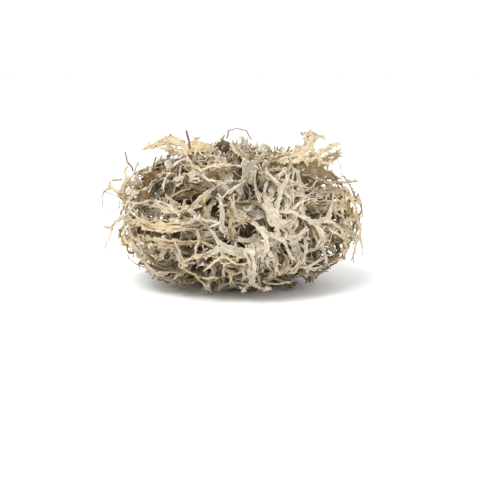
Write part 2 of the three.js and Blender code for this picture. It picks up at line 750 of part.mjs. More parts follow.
// The scraps, each at the place [across, up] where it shows from the front. A stick slides down the way
// that it leans, and a chip straight towards the mound's middle.
const STICK_SIDES = 7;
const CHIP_RINGS = 5;
const LONGEST_SLIDE = 30;
const START_GAP = 22; // how far out a scrap starts
const STICKS = [
  {
    name: "upright_twig", tone: "twig", seen: [-17, 50], lean: [-0.12, -0.1, 1], radius: 0.5,
    points: [[0.3, 0, 0], [0, 0, 2.5], [-0.4, 0, 7]],
  },
  {
    name: "bent_fibre", tone: "twig", seen: [1, 50], lean: [0, -0.1, 1], radius: 0.4,
    points: [[-4.5, 0, 0.5], [-3.8, 0, 3.2], [-1, -0.3, 4.8], [3, 0.5, 3.4], [5, 1, 0]],
  },
  {
    name: "thin_twig_left", tone: "twig", seen: [-36, 36], lean: [-0.35, -0.3, 1], radius: 0.36,
    points: [[0.5, 0, 0], [0, 0, 4], [0.4, 0, 8]],
  },
  {
    name: "thin_twig_middle", tone: "twig", seen: [-33, 37], lean: [-0.1, -0.3, 1], radius: 0.36,
    points: [[0, 0, 0], [0.4, 0, 4], [0, 0, 8]],
  },
  {
    name: "thin_twig_right", tone: "twig", seen: [-30.5, 39], lean: [0.1, -0.25, 1], radius: 0.42,
    points: [[0, 0, 0], [-0.4, 0, 4], [0.3, 0, 8]],
  },
];
const CHIPS = [
  {
    name: "bark_scrap", tone: "bark", seen: [11, 47], spin: 0.4,
    length: 5.5, half: 2, bow: 0.6, thickness: 1.3, seed: 3,
  },
  {
    name: "leaf_scrap_upper", tone: "leaf", seen: [-26, 40], spin: 0.9,
    length: 8, half: 2.8, bow: 1.4, thickness: 0.75, seed: 5,
  },
  {
    name: "leaf_scrap_lower", tone: "leaf", seen: [-29, 35], spin: -0.5,
    length: 6.5, half: 2.2, bow: -1, thickness: 0.75, seed: 8,
  },
  {
    name: "rust_flake", tone: "rust", seen: [-37, 20], spin: 0.3,
    length: 4.4, half: 1.3, bow: 0.4, thickness: 0.8, seed: 9,
  },
];

const clump = new THREE.Group();
const placed = []; // the solids that are already there

function addPiece(name, geometry, tone) {
  const mesh = new THREE.Mesh(geometry, MATERIALS[tone]);
  mesh.name = name;
  clump.add(mesh);
  placed.push(solidOf(geometry));
  return mesh;
}

const guided = growGuided();
const fused = growFamily(FUSED, "fused", true);
const outer = growFamily(OUTER, "thallus_outer", false);
const heart = addPiece("matted_heart", geometryOf(heartSolid(fused)), "heart");
for (const { name, tone, trunk } of [...guided, ...outer]) {
  addPiece(name, thallusGeometry(trunk, footOn(heart, trunk.stations[0])), tone);
}
for (const stick of STICKS) {
  const lean = vec(...stick.lean).normalize();
  const start = frontPoint(...stick.seen, 1).addScaledVector(lean, START_GAP);
  const turn = new THREE.Quaternion().setFromUnitVectors(vec(0, 0, 1), lean);
  const geometry = stickGeometry(stick.points, stick.radius).applyQuaternion(turn);
  addPiece(stick.name, slideToSeat(geometry, start, lean.negate()), stick.tone);
}
for (const chip of CHIPS) {
  const out = frontPoint(...chip.seen, 1).sub(vec(0, 0, MOUND.middle)).normalize();
  const start = frontPoint(...chip.seen, 1).addScaledVector(out, START_GAP);
  const turn = new THREE.Quaternion().setFromUnitVectors(vec(0, 0, 1), outward(MOUND, start));
  const geometry = chipGeometry(chip).rotateZ(chip.spin).applyQuaternion(turn);
  addPiece(chip.name, slideToSeat(geometry, start, out.negate()), chip.tone);
}

export default clump;
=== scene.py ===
# %% [markdown]
# # A clump of dried oakmoss
# Oakmoss is a lichen, Evernia prunastri. It has no leaves and no stem: each thallus is one flat strap that
# forks again and again, grey-green when it is alive and cream when it is dry. Dried oakmoss is sold as a
# springy tangle of such thalli, with the odd scrap of bark, leaf and twig caught in it.
#
# The part's solids are the frame of this scene. Each of them is covered here by a finer piece that keeps its
# place and its course: thin crumpled sheets with ragged margins where the frame has plain straps.

# %% Open the frame
import json
import math

import bpy
import numpy as np
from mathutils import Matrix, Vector, noise

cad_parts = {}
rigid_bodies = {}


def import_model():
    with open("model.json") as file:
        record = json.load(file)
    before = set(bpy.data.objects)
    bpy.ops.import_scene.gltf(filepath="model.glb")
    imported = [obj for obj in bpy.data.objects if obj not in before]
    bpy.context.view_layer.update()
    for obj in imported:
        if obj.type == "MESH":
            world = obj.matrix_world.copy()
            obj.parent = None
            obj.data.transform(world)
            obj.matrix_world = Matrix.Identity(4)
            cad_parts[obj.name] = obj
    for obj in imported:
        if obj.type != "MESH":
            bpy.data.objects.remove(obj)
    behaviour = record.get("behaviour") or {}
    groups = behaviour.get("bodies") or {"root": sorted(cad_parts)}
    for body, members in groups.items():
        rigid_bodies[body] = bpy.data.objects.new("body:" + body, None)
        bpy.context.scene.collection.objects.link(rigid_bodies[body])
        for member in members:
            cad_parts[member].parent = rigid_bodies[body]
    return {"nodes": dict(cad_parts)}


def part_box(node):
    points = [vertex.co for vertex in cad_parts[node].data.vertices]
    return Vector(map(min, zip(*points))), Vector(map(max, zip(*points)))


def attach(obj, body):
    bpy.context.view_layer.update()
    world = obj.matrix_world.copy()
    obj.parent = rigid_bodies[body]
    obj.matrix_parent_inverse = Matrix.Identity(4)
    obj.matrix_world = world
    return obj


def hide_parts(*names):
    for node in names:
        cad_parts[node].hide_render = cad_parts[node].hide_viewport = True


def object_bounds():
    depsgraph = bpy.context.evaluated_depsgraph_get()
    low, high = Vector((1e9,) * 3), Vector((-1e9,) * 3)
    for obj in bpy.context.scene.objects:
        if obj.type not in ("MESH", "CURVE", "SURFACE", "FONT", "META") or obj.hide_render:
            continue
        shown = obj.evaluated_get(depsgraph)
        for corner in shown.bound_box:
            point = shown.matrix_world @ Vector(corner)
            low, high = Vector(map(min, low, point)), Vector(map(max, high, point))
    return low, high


for thing in list(bpy.data.objects):
    bpy.data.objects.remove(thing)
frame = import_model()
cad_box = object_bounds()
MM = 0.001  # sizes are worked out in millimetres, and meshes are made in metres
print(len(frame["nodes"]), "solids,", [round(1000 * side, 1) for side in cad_box[1] - cad_box[0]], "mm")

# %% [markdown]
# ## The growth rule
# The part's source grows its thalli by a rule: step by step, each new piece of strap tries the way that it
# wants to go, and bends off where something is in the way. If this script follows the same rule with the
# same numbers, it knows the course of every strap, which a finished mesh no longer tells. The alternative,
# to trace the courses back from the solids' faces, would be longer and less exact. So the rule stands here
# again, number by number, and the result is compared with the frame below.

# %% The clump's ovals and the strap's build
MOUND = {"half_width": 41, "half_depth": 38, "middle": 24, "rise": 26, "drop": 24}
HEART = {"half_width": 26, "half_depth": 24, "middle": 22, "rise": 19, "drop": 24}

STEP = 2.8  # distance between two stations along a strap
RIB = 0.95  # thickness of the frame's straps along their middle
CUP = 0.32  # how far a strap's edges curl out, as a share of its half width
SWELL = 1.3  # a strap is this much wider where it forks
TIP_HALF = 0.45  # half width of the last station before a point
TRUNK_STEPS = 3  # steps from the base of a thallus to its first fork, where no plan says more
MOST_STEPS = 24  # most steps of a guided strap
BURIED = 0.12  # how far below its level a guided thallus starts
ROOT_LEVEL = 0.76  # level in the heart's oval of a fused root
BASE_TRIES = 40  # places that are tried for the base of a thallus, each farther off
ROOT_LENGTH = 8  # how far from its base a fused thallus may run inside the heart

FLESH_SPACING = 1.3  # most distance between two points of flesh across a strap
FLESH_SHARE = 0.9  # how far out on the half width the last of them lies
FLESH_GAP = 1.42  # least distance between the middles of two straps' flesh
KIN_GAP = 0.95  # the same, near a fork that the two straps share
KIN_LENGTH = 7.2  # how far along the straps "near a fork" reaches
KIN_STEPS = 2.1  # steps along the straps within which two of them may touch
FLOOR_GAP = 0.95  # least height of a strap's flesh
MOUND_LIMIT = 1.15  # most level, in the mound's oval, of a strap's flesh
HEART_GAP = 1.05  # least level, in the heart's oval, of a loose strap's flesh

# %% Points as plain triples
# Plain triples give the same last digit as the part's source does, which keeps every fork in its place.


def plus(a, b, scale=1.0):
    return (a[0] + b[0] * scale, a[1] + b[1] * scale, a[2] + b[2] * scale)


def minus(a, b):
    return (a[0] - b[0], a[1] - b[1], a[2] - b[2])


def times(a, scale):
    return (a[0] * scale, a[1] * scale, a[2] * scale)


def dot(a, b):
    return a[0] * b[0] + a[1] * b[1] + a[2] * b[2]


def cross(a, b):
    return (a[1] * b[2] - a[2] * b[1], a[2] * b[0] - a[0] * b[2], a[0] * b[1] - a[1] * b[0])


def length_of(a):
    return math.sqrt(a[0] * a[0] + a[1] * a[1] + a[2] * a[2])


def unit(a):
    return times(a, 1 / (length_of(a) or 1))


def clamp(value, low, high):
    return min(high, max(low, value))


def number_stream(seed):
    """A repeatable stream of numbers from 0 to 1."""
    state = seed

    def draw():
        nonlocal state
        state = (1664525 * state + 1013904223) % 4294967296
        return state / 4294967296

    return draw


def any_way(draw):
    """A direction drawn at random."""
    return (draw() - 0.5, draw() - 0.5, draw() - 0.5)


# %% Levels in an oval


def level_in(oval, p):
    """1 on an oval's surface, less inside it and more outside."""
    up = p[2] - oval["middle"]
    half = oval["rise"] if up > 0 else oval["drop"]
    return length_of((p[0] / oval["half_width"], p[1] / oval["half_depth"], up / half))


def outward(oval, p):
    """The way out of an oval at a point."""
    up = p[2] - oval["middle"]
    half = oval["rise"] if up > 0 else oval["drop"]
    x = p[0] / (oval["half_width"] * oval["half_width"])
    y = p[1] / (oval["half_depth"] * oval["half_depth"])
    return unit((x, y, up / (half * half)))


def point_of(oval, p, level):
    """The point of an oval, at a level, that lies straight out from its middle towards p."""
    arm = times((p[0], p[1], p[2] - oval["middle"]), level / level_in(oval, p))
    return (arm[0], arm[1], arm[2] + oval["middle"])


def front_point(x, z, level):
    """The point on the mound's front, at a level, that is seen at x across and z up."""
    up = z - MOUND["middle"]
    across = x / MOUND["half_width"]
    height = up / (MOUND["rise"] if up > 0 else MOUND["drop"])
    left = level * level - across * across - height * height
    return (x, -MOUND["half_depth"] * math.sqrt(max(0.02, left)), z)


def square_to(direction, axis):
    """The part of a direction that is square to an axis, as a unit vector."""
    return unit(plus(direction, axis, -dot(direction, axis)))


# %% Stations, straps and thalli


class Station:
    """A cross-section of a strap."""

    def __init__(self, at, along, normal, half, path):
        self.at, self.along, self.half, self.path = at, along, half, path
        self.normal = square_to(normal, along)
        self.side = cross(self.normal, along)

    def flesh(self):
        """Points across it that stand for its flesh."""
        count = math.ceil(self.half / FLESH_SPACING)
        points = []
        for k in range(-count, count + 1):
            share = (FLESH_SHARE * k) / count
            lift = abs(share) * CUP * self.half
            points.append(plus(plus(self.at, self.side, share * self.half), self.normal, lift))
        return points


class Thallus:
    """What is the same for all straps of one thallus."""

    def __init__(self, seed, level, half, forks, aim, **more):
        self.seed, self.level, self.half, self.forks, self.aim = seed, level, half, forks, aim
        usual = {
            "fused": False, "limit": MOUND_LIMIT, "goals": [], "branches": [], "facing": None,
            "end_level": level, "heart_gap": HEART_GAP, "room": FLESH_GAP,
        }
        for key, value in (usual | more).items():
            setattr(self, key, value)


def buried(k):
    """How much lower than its level a thallus lies at its first goals."""
    return BURIED * max(0, 1 - 0.5 * k)


class Strap:
    """One strap, from the fork that it leaves to the fork or the tip that it ends in."""

    def __init__(self, thallus, parent, level, half, goals, branches):
        self.thallus, self.parent, self.half, self.branches = thallus, parent, half, branches
        self.order = parent.order + 1 if parent else 0
        self.leaves_at = parent.stations[-1].path if parent else 0
        depth = [0 if parent else buried(k) for k in range(len(goals))]
        self.goals = [front_point(goal[0], goal[1], level - depth[k]) for k, goal in enumerate(goals)]
        self.goal_halves = [goal[2] if len(goal) > 2 else None for goal in goals]
        self.stations, self.children = [], []
        self.steps, self.is_tip = TRUNK_STEPS, False
        self.wander = self.lift = self.split = 0
        self.twist = parent.twist if parent else 0
        self.rise = parent.rise if parent else 0


# %% The flesh that is already there
CUBE = 1.5  # side of the cubes that flesh is filed in, wider than any gap
flesh = {}


def cube_of(p):
    return math.floor(p[0] / CUBE), math.floor(p[1] / CUBE), math.floor(p[2] / CUBE)


def add_flesh(station, strap):
    for point in station.flesh():
        flesh.setdefault(cube_of(point), []).append((point, strap, station.path))


def remove_flesh(thallus):
    for key, bits in flesh.items():
        flesh[key] = [bit for bit in bits if bit[1].thallus is not thallus]


def parting_length(a, b):
    """The length from the base at which two straps of one thallus part."""
    if a is b:
        return math.inf
    limits, limit, strap = {}, math.inf, a
    while strap:
        limits[strap] = limit
        limit, strap = strap.leaves_at, strap.parent
    limit, strap = math.inf, b
    while strap:
        if strap in limits:
            return min(limit, limits[strap])
        limit, strap = strap.leaves_at, strap.parent
    return 0


def gap_to(strap, path, old_strap, old_path):
    """How close flesh at one place of a strap may come to flesh that is already there."""
    room = strap.thallus.room
    if strap.thallus is not old_strap.thallus:
        return room
    shared = min(parting_length(strap, old_strap), path, old_path)
    between = path + old_path - 2 * shared
    if between > KIN_LENGTH:
        return room
    return KIN_GAP if strap is not old_strap and between > KIN_STEPS * STEP else 0


NEAR_CUBES = [(i, j, k) for i in (-1, 0, 1) for j in (-1, 0, 1) for k in (-1, 0, 1)]


def is_clear(station, strap):
    """True if a station's flesh keeps clear of the floor, the heart and the flesh already there."""
    thallus = strap.thallus
    in_heart = thallus.fused and station.path < ROOT_LENGTH
    farthest = thallus.room * thallus.room
    for point in station.flesh():
        if point[2] < FLOOR_GAP or level_in(MOUND, point) > thallus.limit:
            return False
        if not in_heart and level_in(HEART, point) < thallus.heart_gap:
            return False
        cx, cy, cz = cube_of(point)
        for i, j, k in NEAR_CUBES:
            for old, old_strap, old_path in flesh.get((cx + i, cy + j, cz + k), ()):
                x, y, z = point[0] - old[0], point[1] - old[1], point[2] - old[2]
                distance = x * x + y * y + z * z
                if distance >= farthest:
                    continue
                gap = gap_to(strap, station.path, old_strap, old_path)
                if distance < gap * gap:
                    return False
    return True


# %% One step of growth
# Ways to bend off the wanted direction, mildest first: in the strap's plane, and out of it.
BENDS = [
    (0, 0), (0, 0.22), (0, -0.22), (0.25, 0), (-0.25, 0), (0, 0.45), (0, -0.45),
    (0.3, 0.3), (-0.3, 0.3), (0.3, -0.3), (-0.3, -0.3), (0, 0.8), (0, -0.8),
    (0.6, 0), (-0.6, 0), (0.5, 0.6), (-0.5, 0.6), (0.5, -0.6), (-0.5, -0.6),
]
SHARPEST_TURN = 0.7  # least cosine between one step and the next
WIDEST_SWING = 1.3  # most that a strap's edge may gain on its middle in a step
FACE_KEPT, FACE_ADDED = 1.5, 0.5  # how much a strap keeps its face in a step, and turns it outwards
WANDER_KEPT, WANDER_ADDED = 0.6, 0.5  # how much of its drift to the side a strap keeps and gets in a step
LIFT_KEPT, LIFT_ADDED = 0.5, 0.6  # the same, out of the mound
TWIST_ADDED = 1.0  # the same, for its turn about itself
GOAL_PULL = 1.6  # how strongly a goal draws a strap
LEVEL_PULL, MOST_LEVEL_PULL = 5, 0.6  # how strongly its own level does, without a goal
GOAL_NEAR, GOAL_PASSED = 1.2, 3  # steps from a goal at which it is reached, or may be passed by
SWELL_STEP = 0.12  # how much nearer to its full swelling a guided strap gets in a step
WIDTH_STEP = 0.5  # how much nearer to its goal's width
TIP_SHRINK = 0.5  # how much narrower a tip gets
WIDTH_LEAST, WIDTH_SPAN = 0.9, 0.2  # how uneven a strap's width is


def next_station(strap, start, wanted, half):
    """The next station in the wanted direction, or bent off it, or None."""
    face = plus(strap.thallus.facing or outward(MOUND, start.at), start.side, strap.twist)
    for in_plane, out_of_plane in BENDS:
        along = unit(plus(plus(wanted, start.side, in_plane), start.normal, out_of_plane))
        swing = abs(dot(along, start.side)) * half
        if dot(along, start.along) < SHARPEST_TURN or swing > WIDEST_SWING:
            continue
        at = plus(start.at, along, STEP)
        normal = plus(times(start.normal, FACE_KEPT), face, FACE_ADDED)
        station = Station(at, along, normal, half, start.path + STEP)
        middle = times(plus(start.at, at), 0.5)
        between = plus(station.normal, start.normal)
        midway = Station(middle, along, between, 0.5 * (start.half + half), start.path + 0.5 * STEP)
        if is_clear(station, strap) and is_clear(midway, strap):
            add_flesh(station, strap)
            add_flesh(midway, strap)
            return station
    return None


def wanted_direction(strap, start, draw):
    """Towards the strap's next goal, or along the mound at its own level. A tip goes straight on."""
    strap.wander = WANDER_KEPT * strap.wander + WANDER_ADDED * (draw() - 0.5)
    strap.lift = LIFT_KEPT * strap.lift + LIFT_ADDED * (draw() - 0.5)
    strap.twist = clamp(strap.twist + TWIST_ADDED * (draw() - 0.5), -1, 1)
    if strap.goals:
        pull = unit(minus(strap.goals[0], start.at))
        wanted = plus(plus(start.along, pull, GOAL_PULL), start.side, 0.5 * strap.wander)
    else:
        level = strap.thallus.end_level
        away = 0 if strap.is_tip else level + strap.rise - level_in(MOUND, start.at)
        pull = clamp(LEVEL_PULL * away, -MOST_LEVEL_PULL, MOST_LEVEL_PULL)
        wanted = plus(start.along, outward(MOUND, start.at), pull + strap.lift)
        wanted = plus(wanted, start.side, strap.wander)
    return unit(wanted)


def is_reached(goal, start):
    away = minus(goal, start.at)
    distance = length_of(away)
    return distance < GOAL_NEAR * STEP or (distance < GOAL_PASSED * STEP and dot(away, start.along) < 0)


def grow_strap(strap, draw):
    """Grows one strap on from its last station, and says whether it got far enough to fork."""
    start = strap.stations[-1]
    guided = bool(strap.goals)
    count = MOST_STEPS if guided else strap.steps
    for k in range(1, count + 1):
        while strap.goals and is_reached(strap.goals[0], start):
            strap.goals.pop(0)
            strap.goal_halves.pop(0)
        if guided and not strap.goals:
            return True
        if guided:
            strap.half += WIDTH_STEP * ((strap.goal_halves[0] or strap.half) - strap.half)
        share = min(1, SWELL_STEP * k) if guided else k / count
        swell = 1 - TIP_SHRINK * share if strap.is_tip else 1 + (SWELL - 1) * share * share
        half = max(TIP_HALF, strap.half * swell * (WIDTH_LEAST + WIDTH_SPAN * draw()))
        station = next_station(strap, start, wanted_direction(strap, start, draw), half)
        if not station:
            return k > 2
        strap.stations.append(station)
        start = station
    return True


# %% Forks, bases and whole thalli
UNEVENNESS = 0.16  # most by which a branch's share of the width exceeds one half
OPENING, OPENING_SPAN = 0.5, 0.3  # how far two branches part
BRANCH_HALF = 1.1  # half width of a branch, as a share of what it takes of the fork
FIRST_HALF = 0.9  # the same, of its first station, as a share of the branch's
BRANCH_PULL = 0.8  # how strongly its goal turns a branch at the fork
RISE_SPAN, RISE_MIDDLE = 0.08, 0.35  # how a branch's level changes
SPLIT_ROOM = 0.08  # least room between a fork's split and the branch's inner edge
BASE_LIFT = 0.012  # how much higher than the heart's gap a loose base lies, as a level
BASE_SPREAD = 0.6  # how much farther off each try for a base goes
BASE_HALF = 0.6  # half width of the base, as a share of the trunk's
GUIDED_LEAN, FREE_LEAN = 0.2, 0.9  # how far a trunk leans at its base
LOWEST_BASE = 2  # least height of a base


def planned_branches(strap, end):
    """A strap's guided branches, the one farthest to its left first."""
    made = [Strap(strap.thallus, strap, **plan) for plan in strap.branches]
    return sorted(made, key=lambda child: dot(minus(child.goals[0], end.at), end.side))


def fork_strap(strap, draw):
    """Splits a strap's end in two, each side as wide as the strap that leaves it."""
    end = strap.stations[-1]
    main_share = 0.5 + UNEVENNESS * draw()
    left_share = main_share if draw() < 0.5 else 1 - main_share
    opening = OPENING + OPENING_SPAN * draw()
    planned = planned_branches(strap, end)
    strap.split = end.half * (2 * left_share - 1)
    for sign in (-1, 1):
        share = left_share if sign < 0 else 1 - left_share
        child = planned.pop(0) if planned else Strap(strap.thallus, strap, 0, 0, [], [])
        child.half = child.half or max(TIP_HALF, BRANCH_HALF * end.half * share)
        child.rise += RISE_SPAN * (draw() - RISE_MIDDLE)
        start = plus(end.at, end.side, sign * end.half * (1 - share))
        wanted = unit(plus(end.along, end.side, sign * opening))
        if child.goals:
            wanted = unit(plus(wanted, unit(minus(child.goals[0], start)), BRANCH_PULL))
        else:
            child.is_tip = child.order >= strap.thallus.forks
            child.steps = 1 + math.floor(2 * draw())
        origin = Station(start, end.along, end.normal, min(child.half, end.half * share), end.path)
        origin.normal, origin.side = end.normal, end.side
        first = next_station(child, origin, wanted, max(TIP_HALF, FIRST_HALF * child.half))
        if not first:
            continue
        inner = minus(plus(first.at, first.side, -sign * first.half), end.at)
        if sign * (dot(inner, end.side) - strap.split) < SPLIT_ROOM:
            continue
        child.stations.append(first)
        strap.children.append(child)


def base_station(thallus, trunk, draw):
    """The base, on the heart's surface straight inside the place that the thallus starts from."""
    level = ROOT_LEVEL if thallus.fused else thallus.heart_gap + BASE_LIFT
    for tries in range(BASE_TRIES):
        aside = times(any_way(draw), BASE_SPREAD * tries)
        at = point_of(HEART, plus(thallus.aim, aside), level)
        out = outward(HEART, at)
        across = square_to(any_way(draw), out)
        along = unit(plus(out, across, GUIDED_LEAN if thallus.goals else FREE_LEAN))
        station = Station(at, along, plus(across, out, 0.5), BASE_HALF * trunk.half, 0)
        if at[2] > LOWEST_BASE and is_clear(station, trunk):
            return station
    return None


def grow_thallus(thallus):
    """Grows a thallus from its base: a strap, then the straps that fork from it, level by level."""
    draw = number_stream(thallus.seed)
    trunk = Strap(thallus, None, thallus.level, thallus.half, thallus.goals, thallus.branches)
    base = base_station(thallus, trunk, draw)
    if not base:
        return None
    trunk.stations.append(base)
    add_flesh(base, trunk)
    waiting = [trunk]
    while waiting:
        strap = waiting.pop(0)
        if not grow_strap(strap, draw) or strap.is_tip:
            continue
        fork_strap(strap, draw)
        waiting.extend(strap.children)
    return trunk


# %% [markdown]
# ## The thalli
# Nineteen thalli are guided: the rule only bends them, and the places that they pass are listed, because they
# are the ones that an eye follows on the front of the clump. The others fill whatever place is barest. A
# small spread of widths, from tips of one millimetre to a plate of six, is true to the species.

# %% The guided thalli
# Goals are (across, up) on the mound's front, with the half width there where it changes. Branches fork off
# at the last goal. The plume and the leaf at the top turn their faces to the front, and end off the mound.
FRONT = (0, -1, 0.3)
SETBACK = 2  # how far behind its first goal a guided thallus starts, in spaces between goals


def plan_of(name, tone, seed, half, forks, level, goals, **more):
    """The plan of a guided thallus."""
    facts = {"seed": seed, "half": half, "forks": forks, "level": level, "goals": goals}
    return {"name": "thallus_" + name, "tone": tone, "facts": facts | more}


def branch(half, level, goals, *branches):
    return {"half": half, "level": level, "goals": goals, "branches": list(branches)}


GUIDED = [
    plan_of(
        "right_plume", "straw", 1, 1.9, 2, 1, [(15, 47), (19, 48, 2.4), (23.5, 49, 2.9), (27.5, 50.5, 3)],
        end_level=1.4, limit=1.5, facing=FRONT),
    plan_of(
        "top_left_leaf", "straw", 10, 2, 2, 1,
        [(-5, 47.5), (-9.5, 49.5, 2.8), (-13.5, 51, 3.3), (-17.5, 51.5, 3.2)],
        end_level=1.25, limit=1.4, facing=FRONT),
    plan_of(
        "right_horn", "straw", 15, 1.4, 1, 1,
        [(24, 43), (28.5, 41, 1.6), (33, 39), (37, 38.5, 1.3), (39.5, 41.5, 1)],
        end_level=1.35, limit=1.4),
    plan_of(
        "front_cross", "grey", 28, 2, 3, 1,
        [(6, 42.5, 2.2), (7.5, 39, 2.4), (10.5, 35.5, 2.3), (14, 31, 1.9), (16.5, 27.5, 1.7)],
        branches=[
            branch(1.4, 1.05, [(19.5, 23.5), (21.5, 18.5), (23.5, 12)]),
            branch(
                1.6, 1.05, [(14, 25), (9, 21.5), (5, 17)],
                branch(1.3, 1.05, [(5.5, 11), (6, 6.5, 1)]),
                branch(1.7, 1.03, [(1.5, 19), (-2, 21), (-7, 21.5)])),
        ]),
    plan_of(
        "broad_plate", "grey", 73, 2.8, 3, 1,
        [(17, 46), (19, 43, 3.1), (21.5, 39, 3.2), (22.5, 35, 2.7), (21, 32, 2)],
        branches=[
            branch(1.3, 1.02, [(24.5, 29.5), (29.5, 28)]), branch(1.5, 1.02, [(20, 28.5), (18.5, 24.5)]),
        ]),
    plan_of(
        "top_plate", "grey", 54, 1.8, 2, 0.99, [(6, 42.5), (4.5, 45.5, 2.8), (4, 48, 3.3), (2.5, 50, 3)],
        end_level=1.1, limit=1.25, facing=FRONT),
    plan_of(
        "coral_branch", "grey", 35, 1.5, 2, 1.05, [(-1, 24.5), (-2, 27.5)],
        branches=[branch(1.3, 1.05, [(-5, 30.5)]), branch(1.4, 1.04, [(-1, 31), (2, 34)])]),
    plan_of(
        "sweep_lower", "straw", 10, 1.6, 3, 1.02,
        [(-9.5, 29), (-14.5, 28.5, 1.8), (-20, 28, 2), (-26.5, 27, 2.2), (-32.5, 27, 2.2), (-37, 28.5, 2)],
        limit=1.32,
        branches=[
            branch(1.4, 1.02, [(-41, 31.5), (-43, 35.5), (-43.5, 38.5, 1)]), branch(1.2, 1.02, [(-42, 28)]),
        ]),
    plan_of(
        "sweep_rim", "straw", 6, 1.4, 3, 1.03,
        [(-12, 22), (-17.5, 22), (-23, 21.5), (-29.5, 21), (-36, 21), (-40.5, 20.5)], limit=1.2),
    plan_of(
        "sweep_upper", "grey", 54, 1.7, 3, 1,
        [(-10, 37), (-14.5, 34), (-19.5, 32.5), (-24.5, 34), (-30, 35.5)]),
    plan_of("left_tuft", "straw", 43, 1.4, 3, 0.98, [(-31, 35), (-36, 36), (-40, 39), (-41, 43)], limit=1.3),
    plan_of(
        "net_upper", "grey", 117, 1.8, 3, 0.97,
        [(-1, 44), (-4.5, 47), (-9, 48.5), (-14, 48), (-19.5, 46.5)]),
    plan_of(
        "net_lower", "grey", 148, 1.7, 3, 1,
        [(-6.5, 37.5), (-8.5, 42), (-13.5, 43.5), (-18, 42.5), (-22.5, 40.5)]),
    plan_of("hanging_stub", "grey", 11, 1.5, 1, 1.09, [(-23.5, 26), (-24, 22)]),
    plan_of("cross_link", "grey", 43, 1.5, 3, 0.96, [(0, 30), (4, 30.5), (8, 29.5)]),
    plan_of(
        "right_tuft_upper", "straw", 104, 1.6, 3, 1,
        [(25, 34), (30, 32.5), (36, 32), (42, 31.5)], limit=1.22),
    plan_of(
        "right_tuft_lower", "straw", 130, 1.6, 3, 1.01,
        [(25.5, 24), (30.5, 23.5), (36, 24.5), (42, 26.5)], limit=1.22),
    plan_of("grey_back", "grey", 49, 2, 2, 0.94, [(8.5, 44.5), (11.5, 42), (15, 38)]),
    plan_of("right_low", "brown", 91, 1.5, 3, 1, [(26.5, 19.5), (31, 18.5), (36, 17)]),
]

# %% The families that a rule places
FUSED = {
    "count": 20, "seed": 1700, "fewest": 9, "forks": 2,
    "level": 0.84, "level_span": 0.08, "half": 1.3, "half_span": 0.4, "fused": True,
}
OUTER = {
    "count": 60, "seed": 1100, "fewest": 18, "forks": 3,
    "level": 0.85, "level_span": 0.16, "half": 1.5, "half_span": 0.6, "fused": False,
}
LOWEST_AIM = 5  # least height of the place that a thallus grows towards
TRIES = 24  # places among which the barest is chosen


def barest_place(draw, level, widest=math.inf):
    """The barest place on the mound among a few drawn at random: farthest from all flesh."""
    points = np.array([bit[0] for bits in flesh.values() for bit in bits])
    best, farthest = None, -1
    for _ in range(TRIES):
        heading = (draw() - 0.5, draw() - 0.5, MOUND["middle"] + 0.9 * (draw() - 0.5))
        place = point_of(MOUND, heading, level)
        if place[2] < LOWEST_AIM or abs(place[0]) > widest:
            continue
        away = points - np.array(place)
        nearest = (away[:, 0] ** 2 + away[:, 1] ** 2 + away[:, 2] ** 2).min()
        if nearest > farthest:
            farthest, best = nearest, place
    return best


def grow_guided(plans, **more):
    """Grows guided thalli, in the order of their list."""
    for plan in plans:
        facts = plan["facts"] | more
        first, second = [front_point(goal[0], goal[1], facts["level"]) for goal in facts["goals"][:2]]
        aim = plus(first, minus(first, second), SETBACK)
        plan["trunk"] = grow_thallus(Thallus(aim=aim, **facts))
    return plans


def count_stations(strap):
    return len(strap.stations) + sum(count_stations(child) for child in strap.children)


def grow_family(family, title):
    """Grows a family of thalli. One that finds too little room is left out."""
    draw = number_stream(family["seed"])
    more = {key: family[key] for key in ("fused", "heart_gap", "room") if key in family}
    grown = []
    for k in range(1, family["count"] + 1):
        level = family["level"] + family["level_span"] * draw()
        half = family["half"] + family["half_span"] * draw()
        tone = "grey" if draw() < 0.5 else "straw" if draw() < 0.7 else "brown"
        aim = barest_place(draw, level, family.get("widest", math.inf))
        thallus = Thallus(family["seed"] + k, level, half, family["forks"], aim, **more)
        trunk = grow_thallus(thallus)
        if trunk and count_stations(trunk) >= family["fewest"]:
            grown.append({"name": f"{title}_{len(grown) + 1}", "tone": tone, "trunk": trunk})
        else:
            remove_flesh(thallus)
    return grown


guided = grow_guided(GUIDED)
fused = grow_family(FUSED, "fused")
outer = grow_family(OUTER, "thallus_outer")
print(len(guided), "guided,", len(fused), "fused and", len(outer), "outer thalli")

# %% [markdown]
# ## Does it match the frame?
# A thallus that left its solid by a fork would look right and be wrong. So the corners of every grown strap
# are compared with the box of its solid. The foot on the heart isn't in this comparison, because the part's
# source shoots a ray for it.

# %% Compare with the frame


def straps_of(strap):
    yield strap
    for child in strap.children:
        yield from straps_of(child)


def corners_of(trunk):
    """The outer corners of a thallus, as the part's source makes them."""
    for strap in straps_of(trunk):
        for station in strap.stations:
            for sign in (-1, 1):
                edge = plus(station.at, station.side, sign * station.half)
                yield plus(edge, station.normal, CUP * station.half)
                yield plus(station.at, station.normal, 0.5 * RIB * sign * 0.8)
        if not strap.children:
            end = strap.stations[-1]
            yield plus(end.at, end.along, 0.5 * STEP)


def misfit(entry):
    """How far a grown thallus departs from its solid's box, in millimetres."""
    low, high = [np.array(corner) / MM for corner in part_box(entry["name"])]
    corners = np.array(list(corners_of(entry["trunk"])))
    outside = max((low - corners.min(0)).max(), (corners.max(0) - high).max())
    inside = max((corners.min(0) - low).max(), (high - corners.max(0)).max())
    return outside, inside


fits = [misfit(entry) for entry in guided + outer]
print("largest step outside a solid's box:", round(max(outside for outside, _ in fits), 3), "mm")
print("largest room left inside one:", round(max(inside for _, inside in fits), 3), "mm")

